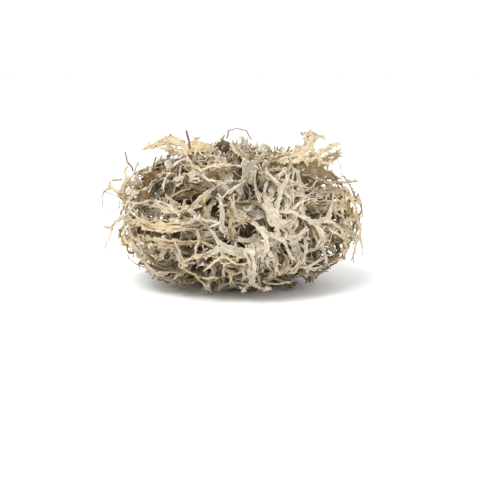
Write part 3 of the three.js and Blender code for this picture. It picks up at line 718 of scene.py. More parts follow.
# %% [markdown]
# ## From courses to sheets
# A dry thallus is a sheet less than half a millimetre thick, channelled, wrinkled along its length and
# ragged at its margins. It could be drawn by a cloth simulation, but its creases come from drying and not
# from hanging. So the sheet is laid row by row along the grown course, and noise that depends only on the
# place in space bends it: two straps that leave a fork then keep the same creases across it.

# %% The crumpling of a dry sheet
SPACING = 0.55  # distance between two rows of an outer sheet
COARSE_SPACING = 0.85  # the same, inside the tangle
SWAY = 0.42  # how far a strap's course wavers
CURL = 1.15  # most angle, each way, through which a strap's section bends
WIDEN = 1.12  # makes up for the width that the curl takes
RIDGE_WIDTH, RIDGE_LENGTH = 0.95, 5.5  # size of a lengthwise wrinkle
RIDGE_HEIGHT = 0.3  # how far a wrinkle stands out, as a share of the half width
WEB = 0.38  # how far the sheet goes on between two branches, as a share of a step
TEAR_DEPTH, NIBBLE_DEPTH = 0.55, 0.3  # how far a margin gives way, as a share of the half width
END_LENGTH, END_HALF, END_CRUMPLE = 0.25, 0.3, 0.4  # the small round end of a strap
LEAD = 0.6  # how far behind a fork the curve of a branch comes from, as a share of a step
LOWEST_POINT = 0.35  # least height of the sheet's middle layer
SLIT_FROM = 1.15  # half width from which a strap has slits
SLIT_WIDTH, SLIT_LENGTH, SLIT_SEED = 0.8, 4.5, 7.0
SLIT_RARITY = 0.27  # how strong the noise is where a strap tears

# Each pattern has the size of its waves in millimetres, and a seed that keeps it apart from the others.
BUCKLE, PUCKER, CREASE = (3.6, 3.1), (1.3, 7.7), (2.4, 12.3)
WAVER, ROLLING, TEAR, NIBBLE = (2.6, 4.4), (7.0, 1.7), (1.9, 5.3), (0.8, 9.1)


def wave(point, size, seed=0.0):
    """Smooth noise from -1 to 1 at a point, for creases of about one size."""
    return noise.noise(Vector((point[0] / size + seed, point[1] / size - seed, point[2] / size + 2 * seed)))


def crumple(point, half):
    """How far a sheet stands off its even course at a point."""
    buckle = (0.24 + 0.26 * min(half, 2.5)) * wave(point, *BUCKLE)
    pucker = 0.2 * min(half, 1.5) * wave(point, *PUCKER)
    crease = 0.3 * min(half, 1.6) * (0.3 - abs(wave(point, *CREASE)))
    return buckle + pucker + crease


# %% Rows of a sheet
# A row: left edge, right edge, face, place across the thallus, distance from the base, closeness to a tip.
LEFT, RIGHT, FACE, OFFSET, PATH, TIP = slice(0, 3), slice(3, 6), slice(6, 9), 9, 10, 11


def row_of(station, offset, tip):
    left, right = [plus(station.at, station.side, sign * station.half) for sign in (-1, 1)]
    return np.array([*left, *right, *station.normal, offset, station.path, tip])


def middle_of(row):
    return 0.5 * (row[LEFT] + row[RIGHT])


def shifted(row, way, distance):
    """A row moved along a direction."""
    moved = row.copy()
    for part in (LEFT, RIGHT):
        moved[part] += np.array(way) * distance
    moved[PATH] += distance
    return moved


def row_under(row, part):
    """The part of a row under a part of its chain of points, and its share of the width."""
    a, b = [(part[index][1] + 1) / 2 for index in (0, -1)]
    under = row.copy()
    under[LEFT] = row[LEFT] + (row[RIGHT] - row[LEFT]) * a
    under[RIGHT] = row[LEFT] + (row[RIGHT] - row[LEFT]) * b
    under[OFFSET] = row[OFFSET] + (a + b - 1) * (0.5 * np.linalg.norm(row[RIGHT] - row[LEFT]))
    return under, b - a


def fine_rows(coarse, spacing):
    """Rows close together on smooth curves through the coarse rows, from after the second to the last."""
    made = []
    ends = [*coarse, 2 * coarse[-1] - coarse[-2]]
    for a, b, c, d in zip(ends, ends[1:], ends[2:], ends[3:]):
        length = np.linalg.norm(0.5 * (c[LEFT] + c[RIGHT] - b[LEFT] - b[RIGHT]))
        count = max(2, round(length / spacing))
        for k in range(1, count + 1):
            t = k / count
            square, cube = 2 * a - 5 * b + 4 * c - d, 3 * b - a - 3 * c + d
            made.append(0.5 * (2 * b + (c - a) * t + square * t * t + cube * t * t * t))
    return made


# %% A sheet that grows row by row
FACTS = ("across", "lateral", "path", "half", "tip", "margin")  # what each point knows of its place


class Sheet:
    """A thin sheet under construction."""

    def __init__(self, seed, fine, habit):
        self.fine, self.spacing = fine, SPACING if fine else COARSE_SPACING
        self.points, self.faces, self.facts, self.out = [], [], [], []
        self.draw = number_stream(seed)
        self.own = self.draw()  # what sets this thallus apart from the others
        usual = {"web": WEB, "groove": 1.0, "slits": 1.0, "curl": CURL}
        for key, value in (usual | habit).items():
            setattr(self, key, value)

    def streak(self, lateral, path, width, length, seed=0.0):
        """Smooth noise from -1 to 1 that is drawn out along a strap."""
        return noise.noise(Vector((lateral / width + 40 * self.own, path / length, 90 * self.own + seed)))

    def add_point(self, point, out, *facts):
        """Adds a point, the way out of the strap there, and its facts. Returns its number."""
        self.points.append((point[0], point[1], max(point[2], LOWEST_POINT)))
        self.out.append(out)
        self.facts.append(facts)
        return len(self.points) - 1

    def add_row(self, row, columns):
        """Adds the points of a row, bent and crumpled, and returns them as a chain."""
        arm = 0.5 * (row[RIGHT] - row[LEFT])
        half = float(np.linalg.norm(arm))
        face = row[FACE] / np.linalg.norm(row[FACE])
        middle = middle_of(row)
        middle = middle + arm / half * SWAY * wave(middle, *WAVER)
        curl = self.curl * clamp(0.5 + 1.1 * wave(middle, *ROLLING), 0.08, 1)
        torn = [
            1 + TEAR_DEPTH * wave(row[part], *TEAR) + NIBBLE_DEPTH * wave(row[part], *NIBBLE)
            for part in (LEFT, RIGHT)
        ]
        chain = []
        for k in range(columns + 1):
            u = 2 * k / columns - 1
            reach = math.sin(curl * u) / curl * WIDEN
            reach *= 1 + (torn[u > 0] - 1) * u * u
            lift = (1 - math.cos(curl * u)) / curl
            even = middle + arm * reach + face * half * lift
            lateral = row[OFFSET] + u * half
            ridge = self.streak(lateral, row[PATH], RIDGE_WIDTH, RIDGE_LENGTH)
            stand = crumple(even, half) + self.groove * RIDGE_HEIGHT * min(half, 1.2) * ridge
            facts = (u, lateral, row[PATH], half, row[TIP], 1.0 if k in (0, columns) else 0.0)
            index = self.add_point(even + face * stand, arm / half * (1 if u > 0 else -1), *facts)
            chain.append((index, u))
        return chain

    def is_slit(self, index):
        """True where a broad strap is torn lengthwise."""
        _, lateral, path, half, _, _ = self.facts[index]
        if half < SLIT_FROM:
            return False
        return self.streak(lateral, path, SLIT_WIDTH, SLIT_LENGTH, SLIT_SEED) > SLIT_RARITY / self.slits

    def join(self, a, b):
        """Fills the strip between two chains of points."""
        if len(a) == len(b):
            for k in range(len(a) - 1):
                if not 0 < k < len(a) - 2 or not self.is_slit(a[k][0]):
                    self.faces.append((a[k][0], b[k][0], b[k + 1][0], a[k + 1][0]))
            return
        i = j = 0
        place_a, place_b = np.linspace(0, 1, len(a)), np.linspace(0, 1, len(b))
        while i < len(a) - 1 or j < len(b) - 1:
            if j == len(b) - 1 or (i < len(a) - 1 and place_a[i + 1] <= place_b[j + 1]):
                self.faces.append((a[i][0], b[j][0], a[i + 1][0]))
                i += 1
            else:
                self.faces.append((a[i][0], b[j][0], b[j + 1][0]))
                j += 1

    def lay(self, chain, rows, columns):
        """Adds rows one after another, from a chain of points on."""
        for row in rows:
            ring = self.add_row(row, columns)
            self.join(chain, ring)
            chain = ring
        return chain

    def close(self, chain, row, way):
        """Ends a strap in a small round tip."""
        middle = middle_of(row) + np.array(way) * END_LENGTH
        middle = middle + row[FACE] * crumple(middle, END_CRUMPLE)
        tip = self.add_point(middle, np.array(way), 0.0, row[OFFSET], row[PATH], END_HALF, 1.0, 0.0)
        self.faces += [(a[0], tip, b[0]) for a, b in zip(chain, chain[1:])]


# %% Straps, forks and the small prongs at the tips
PRONGS = {
    "longest": 2.5, "shortest": 1.1, "three_from": 0.8, "opening": 0.55, "two_open": 1.4,
    "turn": 0.5, "lift": 0.7, "end_share": 0.3, "thinnest": 0.16, "spacing": 1.1,
}


# How many faces a strap gets from one edge to the other, up to each half width.
FINE_COLUMNS = ((0.6, 4), (1.2, 6), (1.9, 8), (math.inf, 10))
COARSE_COLUMNS = ((1.2, 4), (math.inf, 6))


def columns_for(half, fine):
    return next(count for limit, count in (FINE_COLUMNS if fine else COARSE_COLUMNS) if half < limit)


def lay_prongs(sheet, chain, row, way):
    """Splits a strap's end into two or three short prongs."""
    arm = row[RIGHT] - row[LEFT]
    half, side = 0.5 * np.linalg.norm(arm), arm / np.linalg.norm(arm)
    count = 3 if half > PRONGS["three_from"] and sheet.draw() < 0.5 else 2
    cuts = [round(k * (len(chain) - 1) / count) for k in range(count + 1)]
    for k in range(count):
        part = chain[cuts[k]: cuts[k + 1] + 1]
        start, share = row_under(row, part)
        turn = PRONGS["opening"] * (k - (count - 1) / 2) * (PRONGS["two_open"] if count == 2 else 1.0)
        turn += PRONGS["turn"] * (sheet.draw() - 0.5)
        lift = PRONGS["lift"] * (sheet.draw() - 0.5)
        aim = unit(plus(plus(tuple(way), tuple(side), turn), tuple(row[FACE]), lift))
        length = PRONGS["shortest"] + (PRONGS["longest"] - PRONGS["shortest"]) * sheet.draw()
        middle = middle_of(start) + np.array(aim) * length
        width = max(PRONGS["thinnest"], PRONGS["end_share"] * half * share)
        end = start.copy()
        end[LEFT], end[RIGHT] = middle - side * width, middle + side * width
        end[PATH] += length
        end[TIP] = 1.0
        rows = fine_rows([shifted(start, way, -length), start, end], PRONGS["spacing"] * sheet.spacing)
        sheet.close(sheet.lay(part, rows, 2 if len(part) < 4 else 4), rows[-1], aim)


def lay_strap(sheet, strap, chain, before, start, offset):
    """Lays a strap from the chain of points that it starts from, then all that forks from it."""
    tip = min(1.0, strap.order / (max(1, strap.thallus.forks) + 1))
    rows = [row_of(station, offset, tip) for station in strap.stations]
    end = strap.stations[-1]
    is_forked = len(strap.children) == 2
    if is_forked:
        web = rows[-1].copy()
        for part, child, sign in zip((LEFT, RIGHT), strap.children, (-1, 1)):
            first = child.stations[0]
            web[part] += (np.array(plus(first.at, first.side, sign * first.half)) - web[part]) * sheet.web
        web[PATH] += sheet.web * STEP
        rows.append(web)
    columns = columns_for(max(station.half for station in strap.stations), sheet.fine)
    chain = sheet.lay(chain, fine_rows([before, start, *rows], sheet.spacing), columns)
    row = rows[-1]
    if is_forked:
        cut = int(clamp(round((strap.split / end.half + 1) / 2 * columns), 1, columns - 1))
        for child, part in zip(strap.children, (chain[: cut + 1], chain[cut:])):
            under, _ = row_under(row, part)
            lay_strap(sheet, child, part, shifted(under, end.along, -LEAD * STEP), under, under[OFFSET])
    elif strap.children:
        lay_strap(sheet, strap.children[0], chain, shifted(row, end.along, -STEP), row, offset)
    else:
        lay_prongs(sheet, chain, row, end.along)


ROOT = 1.6  # how far a thallus goes on below its base, into the tangle
ROOT_NARROW = 0.4  # width there, as a share of the base's


def sheet_of(trunk, seed, fine=True, **habit):
    """The sheet of a whole thallus."""
    sheet = Sheet(seed, fine, habit)
    base = trunk.stations[0]
    foot = shifted(row_of(base, 0, 0), base.along, -ROOT)
    middle = middle_of(foot)
    for part in (LEFT, RIGHT):
        foot[part] = middle + ROOT_NARROW * (foot[part] - middle)
    lay_strap(sheet, trunk, sheet.add_row(foot, 4), shifted(foot, base.along, -ROOT), foot, 0)
    return sheet


# %% Sheets become meshes


def in_scene(name, data):
    """A new object of the scene."""
    thing = bpy.data.objects.new(name, data)
    bpy.context.scene.collection.objects.link(thing)
    return thing


def new_mesh(name, points, faces, edges=(), scale=MM):
    """A smooth mesh, its points given in millimetres."""
    mesh = bpy.data.meshes.new(name)
    mesh.from_pydata([tuple(scale * c for c in point) for point in points], edges, faces)
    mesh.polygons.foreach_set("use_smooth", [True] * len(mesh.polygons))
    return mesh


def mesh_from(name, sheet):
    """An object from a sheet, which carries what each point knows."""
    used = np.unique(np.concatenate([np.array(face) for face in sheet.faces]))
    place_of = {old: new for new, old in enumerate(used)}
    faces = [tuple(place_of[index] for index in face) for face in sheet.faces]
    mesh = new_mesh(name, [sheet.points[index] for index in used], faces)
    columns = [*np.array(sheet.facts)[used].T.copy(), np.full(len(used), sheet.own)]
    for key, values in zip((*FACTS, "own"), columns):
        mesh.attributes.new(key, "FLOAT", "POINT").data.foreach_set("value", values)
    out = mesh.attributes.new("out", "FLOAT_VECTOR", "POINT")
    out.data.foreach_set("vector", np.array(sheet.out)[used].ravel())
    mesh.update()
    return in_scene(name, mesh)


# %% [markdown]
# ## Colours and surface
# A dry thallus is cream with a grey or a straw cast, paler at its tips and margins, and stained brown here
# and there. Deep in the clump and in the grooves of its relief its colour is darkened: that is painted shade.
# The surface is matt, finely netted and grainy. One shader group gives the colour from the place in the
# clump, a second one gives the relief, and each material sets its own colours. A painted picture could show
# the same, but a pattern worked out from the place needs no image and fits every sheet.

# %% Helpers for node trees


def colour(red, green, blue):
    """A colour given as it is seen, from 0 to 255, in the linear values that Blender counts in."""
    def linear(value):
        value /= 255
        return value / 12.92 if value <= 0.04045 else ((value + 0.055) / 1.055) ** 2.4
    return (linear(red), linear(green), linear(blue), 1.0)


class Tree:
    """A node tree under construction. Most calls add a node and return the socket that it gives out."""

    def __init__(self, tree):
        self.tree = tree

    def fill(self, socket, value):
        """Fills an input with a value or a link."""
        if isinstance(value, bpy.types.NodeSocket):
            self.tree.links.new(value, socket)
        else:
            socket.default_value = value

    def node(self, kind, inputs=None, **settings):
        """Adds a node, sets it up and fills its inputs."""
        node = self.tree.nodes.new(kind)
        for key, value in settings.items():
            setattr(node, key, value)
        for key, value in (inputs or {}).items():
            self.fill(node.inputs[key], value)
        return node

    def put(self, kind, inputs=None, out=0, **settings):
        return self.node(kind, inputs, **settings).outputs[out]

    def maths(self, operation, a, b=0.5):
        return self.put("ShaderNodeMath", {0: a, 1: b}, operation=operation)

    def product(self, a, b):
        return self.maths("MULTIPLY", a, b)

    def mixed(self, share, a, b, blend="MIX"):
        return self.put("ShaderNodeMix", {0: share, 6: a, 7: b}, 2, data_type="RGBA", blend_type=blend)

    def ranged(self, value, low, high, to_low=0.0, to_high=1.0, kind="SMOOTHSTEP"):
        numbers = {0: value, 1: low, 2: high, 3: to_low, 4: to_high}
        return self.put("ShaderNodeMapRange", numbers, interpolation_type=kind)

    def noise(self, place, scale, detail, roughness=0.5):
        numbers = {"Vector": place, "Scale": scale, "Detail": detail, "Roughness": roughness}
        return self.put("ShaderNodeTexNoise", numbers)

    def place(self, scale=None):
        """The place on the object, in metres or scaled."""
        place = self.put("ShaderNodeTexCoord", out="Object")
        return place if scale is None else self.scaled(place, scale)

    def scaled(self, vector, scale):
        return self.put("ShaderNodeVectorMath", {0: vector, "Scale": scale}, operation="SCALE")

    def fact(self, name):
        """What a point of a sheet knows."""
        return self.put("ShaderNodeAttribute", out="Fac", attribute_name=name)

    def link(self, value, socket):
        self.tree.links.new(value, socket)


def new_group(name, kind, inputs, outputs):
    """A node group with named sockets, ready to be filled: its tree, its inputs and its outputs."""
    group = bpy.data.node_groups.new(name, kind)
    for title, socket_kind, *value in inputs:
        socket = group.interface.new_socket(title, in_out="INPUT", socket_type="NodeSocket" + socket_kind)
        if value:
            socket.default_value = value[0]
    for title, socket_kind in outputs:
        group.interface.new_socket(title, in_out="OUTPUT", socket_type="NodeSocket" + socket_kind)
    return Tree(group), group.nodes.new("NodeGroupInput").outputs, group.nodes.new("NodeGroupOutput").inputs


# %% How deep a place lies in the clump, for the painted shade there
depth, given, result = new_group(
    "Depth in the clump", "ShaderNodeTree",
    [("Shade from", "Float", 0.62), ("Shade to", "Float", 0.98)], [("Shade", "Float")],
)
middle = (0, 0, -MOUND["middle"] * MM)
centred = depth.put("ShaderNodeMapping", {"Vector": depth.place(), "Location": middle})
shares = tuple(1 / (MOUND[key] * MM) for key in ("half_width", "half_depth", "rise"))
stretched = depth.put("ShaderNodeVectorMath", {0: centred, 1: shares}, operation="MULTIPLY")
level = depth.put("ShaderNodeVectorMath", {0: stretched}, "Value", operation="LENGTH")
# Shade is 1 deep in the clump and 0 near its surface: it paints shade into the colour, as if less light
# reached the inside.
depth.link(depth.ranged(level, given["Shade from"], given["Shade to"], 1.0, 0.0), result["Shade"])

# %% The net and grain of the surface
relief, given, result = new_group(
    "Lichen relief", "ShaderNodeTree",
    [("Wrinkle width", "Float", 0.55), ("Grain size", "Float", 0.3)],
    [("Height", "Float"), ("Hollow", "Float")],
)
in_mm = relief.place(1 / MM)
on_strap = relief.put("ShaderNodeCombineXYZ", {
    0: relief.maths("DIVIDE", relief.fact("lateral"), given["Wrinkle width"]),
    1: relief.product(relief.fact("path"), 0.3),
    2: relief.product(relief.fact("own"), 60.0),
})
wrinkle = relief.noise(on_strap, scale=1.1, detail=3.0, roughness=0.6)
cells = {"Vector": in_mm, "Scale": 1.5, "Randomness": 0.9}
net = relief.put("ShaderNodeTexVoronoi", cells, "Distance", feature="DISTANCE_TO_EDGE")
grain = relief.noise(in_mm, relief.maths("DIVIDE", 1.0, given["Grain size"]), detail=4.0)
ridges = relief.product(relief.ranged(net, 0.0, 0.28, 1.0, 0.0), 0.12)
fine = relief.maths("ADD", ridges, relief.product(grain, 0.5))
height = relief.maths("ADD", relief.product(wrinkle, 0.9), fine)
relief.link(height, result["Height"])
# Where the relief is low, the colour group darkens it: painted shade in the grooves.
relief.link(relief.ranged(height, 0.55, 0.88, 1.0, 0.0), result["Hollow"])

# %% The colour of a dry thallus
COLOURS = ("Upper side", "Cast", "Tips", "Stain", "Shade colour")
tone, given, result = new_group(
    "Dry lichen colour", "ShaderNodeTree",
    [(title, "Color") for title in COLOURS] + [("Stain share", "Float"), ("Hollow", "Float")],
    [("Colour", "Color"), ("Dry", "Float")],
)
in_mm = tone.place(1 / MM)
patches = tone.noise(in_mm, scale=0.12, detail=2.0)
mottle = tone.noise(in_mm, scale=0.9, detail=4.0)
stains = tone.noise(in_mm, scale=0.3, detail=5.0, roughness=0.65)
edge = tone.ranged(tone.maths("ABSOLUTE", tone.fact("across")), 0.55, 1.0)
shade = tone.node("ShaderNodeGroup", node_tree=depth.tree).outputs["Shade"]
leaning = tone.maths("ADD", patches, tone.product(tone.maths("SUBTRACT", tone.fact("own"), 0.5), 0.22))
body = tone.mixed(tone.ranged(leaning, 0.4, 0.62), given["Upper side"], given["Cast"])
light = tone.maths("ADD", tone.ranged(tone.fact("tip"), 0.45, 1.0, 0.0, 0.6), tone.product(edge, 0.35))
light = tone.product(light, tone.ranged(mottle, 0.35, 0.65, 0.5, 1.0))
pale = tone.mixed(light, body, given["Tips"])
stain_edge = tone.maths("SUBTRACT", 0.86, tone.product(given["Stain share"], 0.55))
stained = tone.ranged(stains, tone.maths("SUBTRACT", stain_edge, 0.1), stain_edge, 0.0, 0.85)
brown = tone.mixed(stained, pale, given["Stain"])
dust = tone.mixed(tone.ranged(mottle, 0.3, 0.75, 0.0, 0.35), brown, given["Stain"], "MULTIPLY")
# Painted shade: the grooves of the relief are darkened with the stain colour.
groove_shaded = tone.mixed(tone.product(given["Hollow"], 0.5), dust, given["Stain"], "MULTIPLY")
# Painted shade: deep in the clump the colour goes over to the shade colour.
tone.link(tone.mixed(tone.product(shade, 0.85), groove_shaded, given["Shade colour"]), result["Colour"])
tone.link(tone.ranged(mottle, 0.2, 0.8, 0.82, 0.98), result["Dry"])

# %% The materials
# A thallus look has a name, five colours in the order above, and the share that is stained. A scrap look has
# a light and a dark colour, the scale of its fibres, how they stretch, its roughness and the relief's depth.


def new_material(name, specular):
    """A new material, its tree, and the inputs of its shader."""
    made = bpy.data.materials.new(name)
    made.use_nodes = True
    inputs = made.node_tree.nodes["Principled BSDF"].inputs
    inputs["Specular IOR Level"].default_value = specular
    return made, Tree(made.node_tree), inputs


def thallus_material(name, colours, stain_share):
    made, tree, shader = new_material(name, specular=0.2)
    surface = tree.node("ShaderNodeGroup", node_tree=relief.tree).outputs
    facts = {"Stain share": stain_share, "Hollow": surface["Hollow"]}
    facts |= {title: colour(*value) for title, value in zip(COLOURS, colours)}
    seen = tree.node("ShaderNodeGroup", facts, node_tree=tone.tree).outputs
    bump = {"Strength": 0.75, "Distance": 0.25 * MM, "Height": surface["Height"]}
    tree.fill(shader["Base Color"], seen["Colour"])
    tree.fill(shader["Roughness"], seen["Dry"])
    tree.fill(shader["Normal"], tree.put("ShaderNodeBump", bump))
    return made


def scrap_material(name, light, dark, grain, stretch, roughness, depth):
    """A fibrous, mottled material whose grain is stretched along one way of the object."""
    made, tree, shader = new_material(name, specular=0.25)
    place = tree.place()
    stretched = tree.put("ShaderNodeMapping", {"Vector": place, "Scale": stretch})
    fibres = tree.noise(stretched, grain, detail=6.0, roughness=0.7)
    patches = tree.noise(place, scale=260.0, detail=3.0)
    share = tree.maths("ADD", tree.product(fibres, 0.6), tree.product(patches, 0.4))
    bump = {"Strength": 0.8, "Distance": depth * MM, "Height": fibres}
    tree.fill(shader["Base Color"], tree.mixed(tree.ranged(share, 0.36, 0.64), colour(*dark), colour(*light)))
    tree.fill(shader["Roughness"], tree.ranged(fibres, 0.3, 0.7, roughness - 0.12, roughness + 0.1))
    tree.fill(shader["Normal"], tree.put("ShaderNodeBump", bump))
    return made


# SHADE is the colour of the painted shade deep in the clump.
SHADE = (112, 94, 66)
THALLUS_LOOKS = {
    "grey": (
        "thallus_grey", [(206, 196, 177), (192, 180, 156), (220, 213, 199), (152, 132, 100), SHADE], 0.26),
    "straw": (
        "thallus_straw", [(212, 197, 165), (198, 177, 137), (226, 214, 187), (150, 124, 84), SHADE], 0.34),
    "brown": (
        "thallus_brown", [(180, 162, 128), (152, 130, 94), (202, 188, 156), (114, 92, 61), SHADE], 0.55),
    # The heart's look has about the colours of the brown look, with a darker shade colour for more painted
    # shade in the clump's inside.
    "heart": (
        "heart_brown", [(176, 160, 128), (150, 130, 95), (196, 182, 150), (112, 92, 62), (98, 81, 55)], 0.5),
}
SCRAP_LOOKS = {
    "twig": ("twig_brown", (140, 112, 88), (74, 54, 42), 1400.0, (1, 1, 0.25), 0.75, 0.15),
    "bark": ("bark_brown", (150, 132, 122), (78, 62, 60), 900.0, (0.4, 1, 1), 0.82, 0.3),
    "leaf": ("leaf_brown", (128, 104, 72), (72, 54, 36), 700.0, (1, 0.5, 1), 0.75, 0.25),
    "rust": ("leaf_rust", (198, 158, 106), (138, 96, 56), 800.0, (1, 0.6, 1), 0.7, 0.2),
    "mealy": ("mealy_white", (240, 234, 219), (212, 201, 178), 1500.0, (1, 1, 1), 0.85, 0.2),
    "fibre": ("pale_fibre", (222, 208, 176), (178, 158, 120), 1200.0, (1, 1, 1), 0.8, 0.05),
}
looks = {look: thallus_material(*facts) for look, facts in THALLUS_LOOKS.items()}
looks |= {look: scrap_material(*facts) for look, facts in SCRAP_LOOKS.items()}
SLOTS = {look: facts[0] for look, facts in (THALLUS_LOOKS | SCRAP_LOOKS).items()}
SLOTS |= {"mealy": "thallus_grey", "fibre": "thallus_straw"}

# %% [markdown]
# ## Spurs along the margins
# The margins of oakmoss carry hundreds of small side spurs and lobes. They repeat along an edge that is
# already there, which is what Geometry Nodes are good at: each chosen point of a margin gets a copy of one of
# three small shapes, turned outwards. Modelling them one by one would give no better result. The copies are
# made real at the end, because the exported model keeps no instances.

# %% The small shapes
# Each shape by its sections from base to tip: (along, half width, bend), in shares of its length.
SPURS = {
    "straight_spur": [
        (-0.3, 0.2, 0), (0.1, 0.16, 0.02), (0.5, 0.12, 0.06), (0.85, 0.08, 0.14), (1, 0.03, 0.2)],
    "bent_spur": [
        (-0.3, 0.24, 0), (0.1, 0.18, 0.0), (0.4, 0.14, -0.08), (0.7, 0.1, -0.2), (0.9, 0.04, -0.34)],
    "small_lobe": [
        (-0.3, 0.3, 0), (0.1, 0.24, 0.05), (0.35, 0.2, 0.12), (0.55, 0.24, 0.2), (0.7, 0.08, 0.3)],
}
SPUR_CUP = 0.12  # how far its edges curl up, as a share of the half width


def spur_shape(name, sections):
    points, faces, tips = [], [], []
    for k, (along, half, bend) in enumerate(sections):
        for across in (-1, 0, 1):
            points.append((along, across * half, bend + SPUR_CUP * half * abs(across)))
            tips.append(0.5 + 0.5 * k / (len(sections) - 1))
        if k:
            first = 3 * (k - 1)
            faces += [(a, a + 3, a + 4, a + 1) for a in (first, first + 1)]
    mesh = new_mesh(name, points, faces, scale=1)
    mesh.attributes.new("tip", "FLOAT", "POINT").data.foreach_set("value", tips)
    return bpy.data.objects.new(name, mesh)


# %% The tree that puts them on a margin
margin, start, finish = new_group(
    "Along the margins", "GeometryNodeTree",
    [
        ("Geometry", "Geometry"), ("Share of the points", "Float", 0.06), ("Least size", "Float", 0.8 * MM),
        ("Greatest size", "Float", 2.2 * MM), ("Seed", "Int", 0), ("Look", "Material"),
    ],
    [("Geometry", "Geometry")],
)


def known(name, kind="FLOAT"):
    """What the sheet's points know, as a field."""
    return margin.put("GeometryNodeInputNamedAttribute", {"Name": name}, "Attribute", data_type=kind)


def drawn(kind, numbers, out):
    """A value drawn at random for each point."""
    return margin.put("FunctionNodeRandomValue", numbers | {"Seed": start["Seed"]}, out, data_type=kind)


on_margin = margin.put(
    "FunctionNodeCompare", {0: known("margin"), 1: 0.5}, "Result", data_type="FLOAT",
    operation="GREATER_THAN")
lucky = drawn("BOOLEAN", {"Probability": start["Share of the points"]}, 3)
chosen = margin.put("FunctionNodeBooleanMath", {0: on_margin, 1: lucky}, operation="AND")
axes = {0: known("out", "FLOAT_VECTOR"), 1: margin.put("GeometryNodeInputNormal")}
facing = margin.put("FunctionNodeAxesToRotation", axes, primary_axis="X", secondary_axis="Z")
size = drawn("FLOAT", {2: start["Least size"], 3: start["Greatest size"]}, 1)
on_wide = margin.ranged(known("half"), 0.3, 1.6, 0.5, 1.1, "LINEAR")
shapes = margin.tree.nodes.new("GeometryNodeJoinGeometry")
for name, sections in SPURS.items():
    shape = {"Object": spur_shape(name, sections), "As Instance": True}
    margin.link(margin.put("GeometryNodeObjectInfo", shape, "Geometry"), shapes.inputs[0])
copies = margin.put("GeometryNodeInstanceOnPoints", {
    "Points": start["Geometry"], "Selection": chosen, "Instance": shapes.outputs[0],
    "Pick Instance": True, "Rotation": facing, "Scale": margin.product(size, on_wide),
})
lean = drawn("FLOAT_VECTOR", {0: (-0.5, -0.5, -0.75), 1: (0.5, 0.5, 0.75)}, 0)
leaning = margin.put("GeometryNodeRotateInstances", {"Instances": copies, "Rotation": lean})
together = margin.tree.nodes.new("GeometryNodeJoinGeometry")
margin.link(margin.put("GeometryNodeRealizeInstances", {0: leaning}), together.inputs[0])
margin.link(start["Geometry"], together.inputs[0])
painted = margin.put("GeometryNodeSetMaterial", {"Geometry": together.outputs[0], "Material": start["Look"]})
margin.link(painted, finish["Geometry"])

# %% Finish a piece, inside the frame's box
SOFT_EDGE = 1.6  # how far inside the box a point starts to give way
SOFT_FLOOR = 0.3  # the same, above the floor
THICKNESS = 0.36  # of a thallus's sheet


def kept_inside(mesh):
    """Squeezes the points that reach for the outside of the frame's box, so that none gets there."""
    places = np.empty(3 * len(mesh.vertices))
    mesh.vertices.foreach_get("co", places)
    places = places.reshape(-1, 3)
    for axis in range(3):
        for sign, wall in ((-1, cad_box[0][axis]), (1, cad_box[1][axis])):
            room = (SOFT_FLOOR if axis == 2 and sign < 0 else SOFT_EDGE) * MM
            past = np.maximum(0, sign * (places[:, axis] - wall) + room)
            places[:, axis] -= sign * (past - room * (1 - np.exp(-past / room)))
    mesh.vertices.foreach_set("co", places.ravel())
    mesh.update()


def made_real(thing, name, look, nodes=()):
    """The plain mesh that an object's modifiers make, as the piece that stands for its CAD nodes."""
    graph = bpy.context.evaluated_depsgraph_get()
    mesh = bpy.data.meshes.new_from_object(thing.evaluated_get(graph))
    kept_inside(mesh)
    piece = in_scene(name, mesh)
    bpy.data.objects.remove(thing)
    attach(piece, "root")
    if nodes:
        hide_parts(*nodes)
    return piece


def shape_with(thing, group, settings):
    """Puts a Geometry Nodes group on an object and sets its named inputs by their identifiers."""
    modifier = thing.modifiers.new(group.name, "NODES")
    modifier.node_group = group
    for item in group.interface.items_tree:
        if item.item_type == "SOCKET" and item.in_out == "INPUT" and item.name in settings:
            modifier[item.identifier] = settings[item.name]


def thicken(thing, thickness):
    solid = thing.modifiers.new("Thickness", "SOLIDIFY")
    solid.thickness, solid.offset = thickness * MM, 0


def finished(thing, name, look, seed, nodes=(), spurs=0.07, longest=2.2):
    """Gives a sheet its spurs, its thickness and its material, and makes it a piece."""
    shape_with(thing, margin.tree, {
        "Share of the points": spurs, "Greatest size": longest * MM, "Seed": seed, "Look": looks[look],
    })
    thicken(thing, THICKNESS)
    return made_real(thing, name, look, nodes)


def triangles(*pieces):
    return sum(len(face.vertices) - 2 for piece in pieces for face in piece.data.polygons)


# %% The outer thalli
# Some have habits of their own: feathery and deeply grooved, whole and broad, or torn into strands.
FEATHERY = {"web": 0.95, "groove": 1.9, "slits": 0.95, "spurs": 0.2, "longest": 2.8}
RUFFLED = {"web": 0.95, "groove": 1.7, "slits": 0.6, "spurs": 0.12, "longest": 2.6}
BROAD = {"web": 0.6, "groove": 1.4, "slits": 0.5}
TORN = {"slits": 1.7, "groove": 1.3}
TUFTED = {"spurs": 0.2, "longest": 3.0}
CURLY = {"spurs": 0.24, "longest": 2.6}
HABITS = {
    "right_plume": FEATHERY, "plume_frill": FEATHERY, "top_net": FEATHERY,
    "top_left_leaf": RUFFLED, "pitted_plate": RUFFLED, "broad_plate": BROAD, "front_cross": BROAD,
    "sweep_lower": TORN, "sweep_rim": TORN, "sweep_upper": TORN, "left_tuft": TORN,
    "right_tuft_upper": TUFTED, "right_tuft_lower": TUFTED, "right_curl": CURLY, "right_curl_upper": CURLY,
    "top_plate": {"web": 0.2, "groove": 0.9, "slits": 1.0, "curl": 0.2, "spurs": 0.2, "longest": 2.6},
    "coral_branch": {"slits": 0.5, "spurs": 0.16, "longest": 3.0},
}


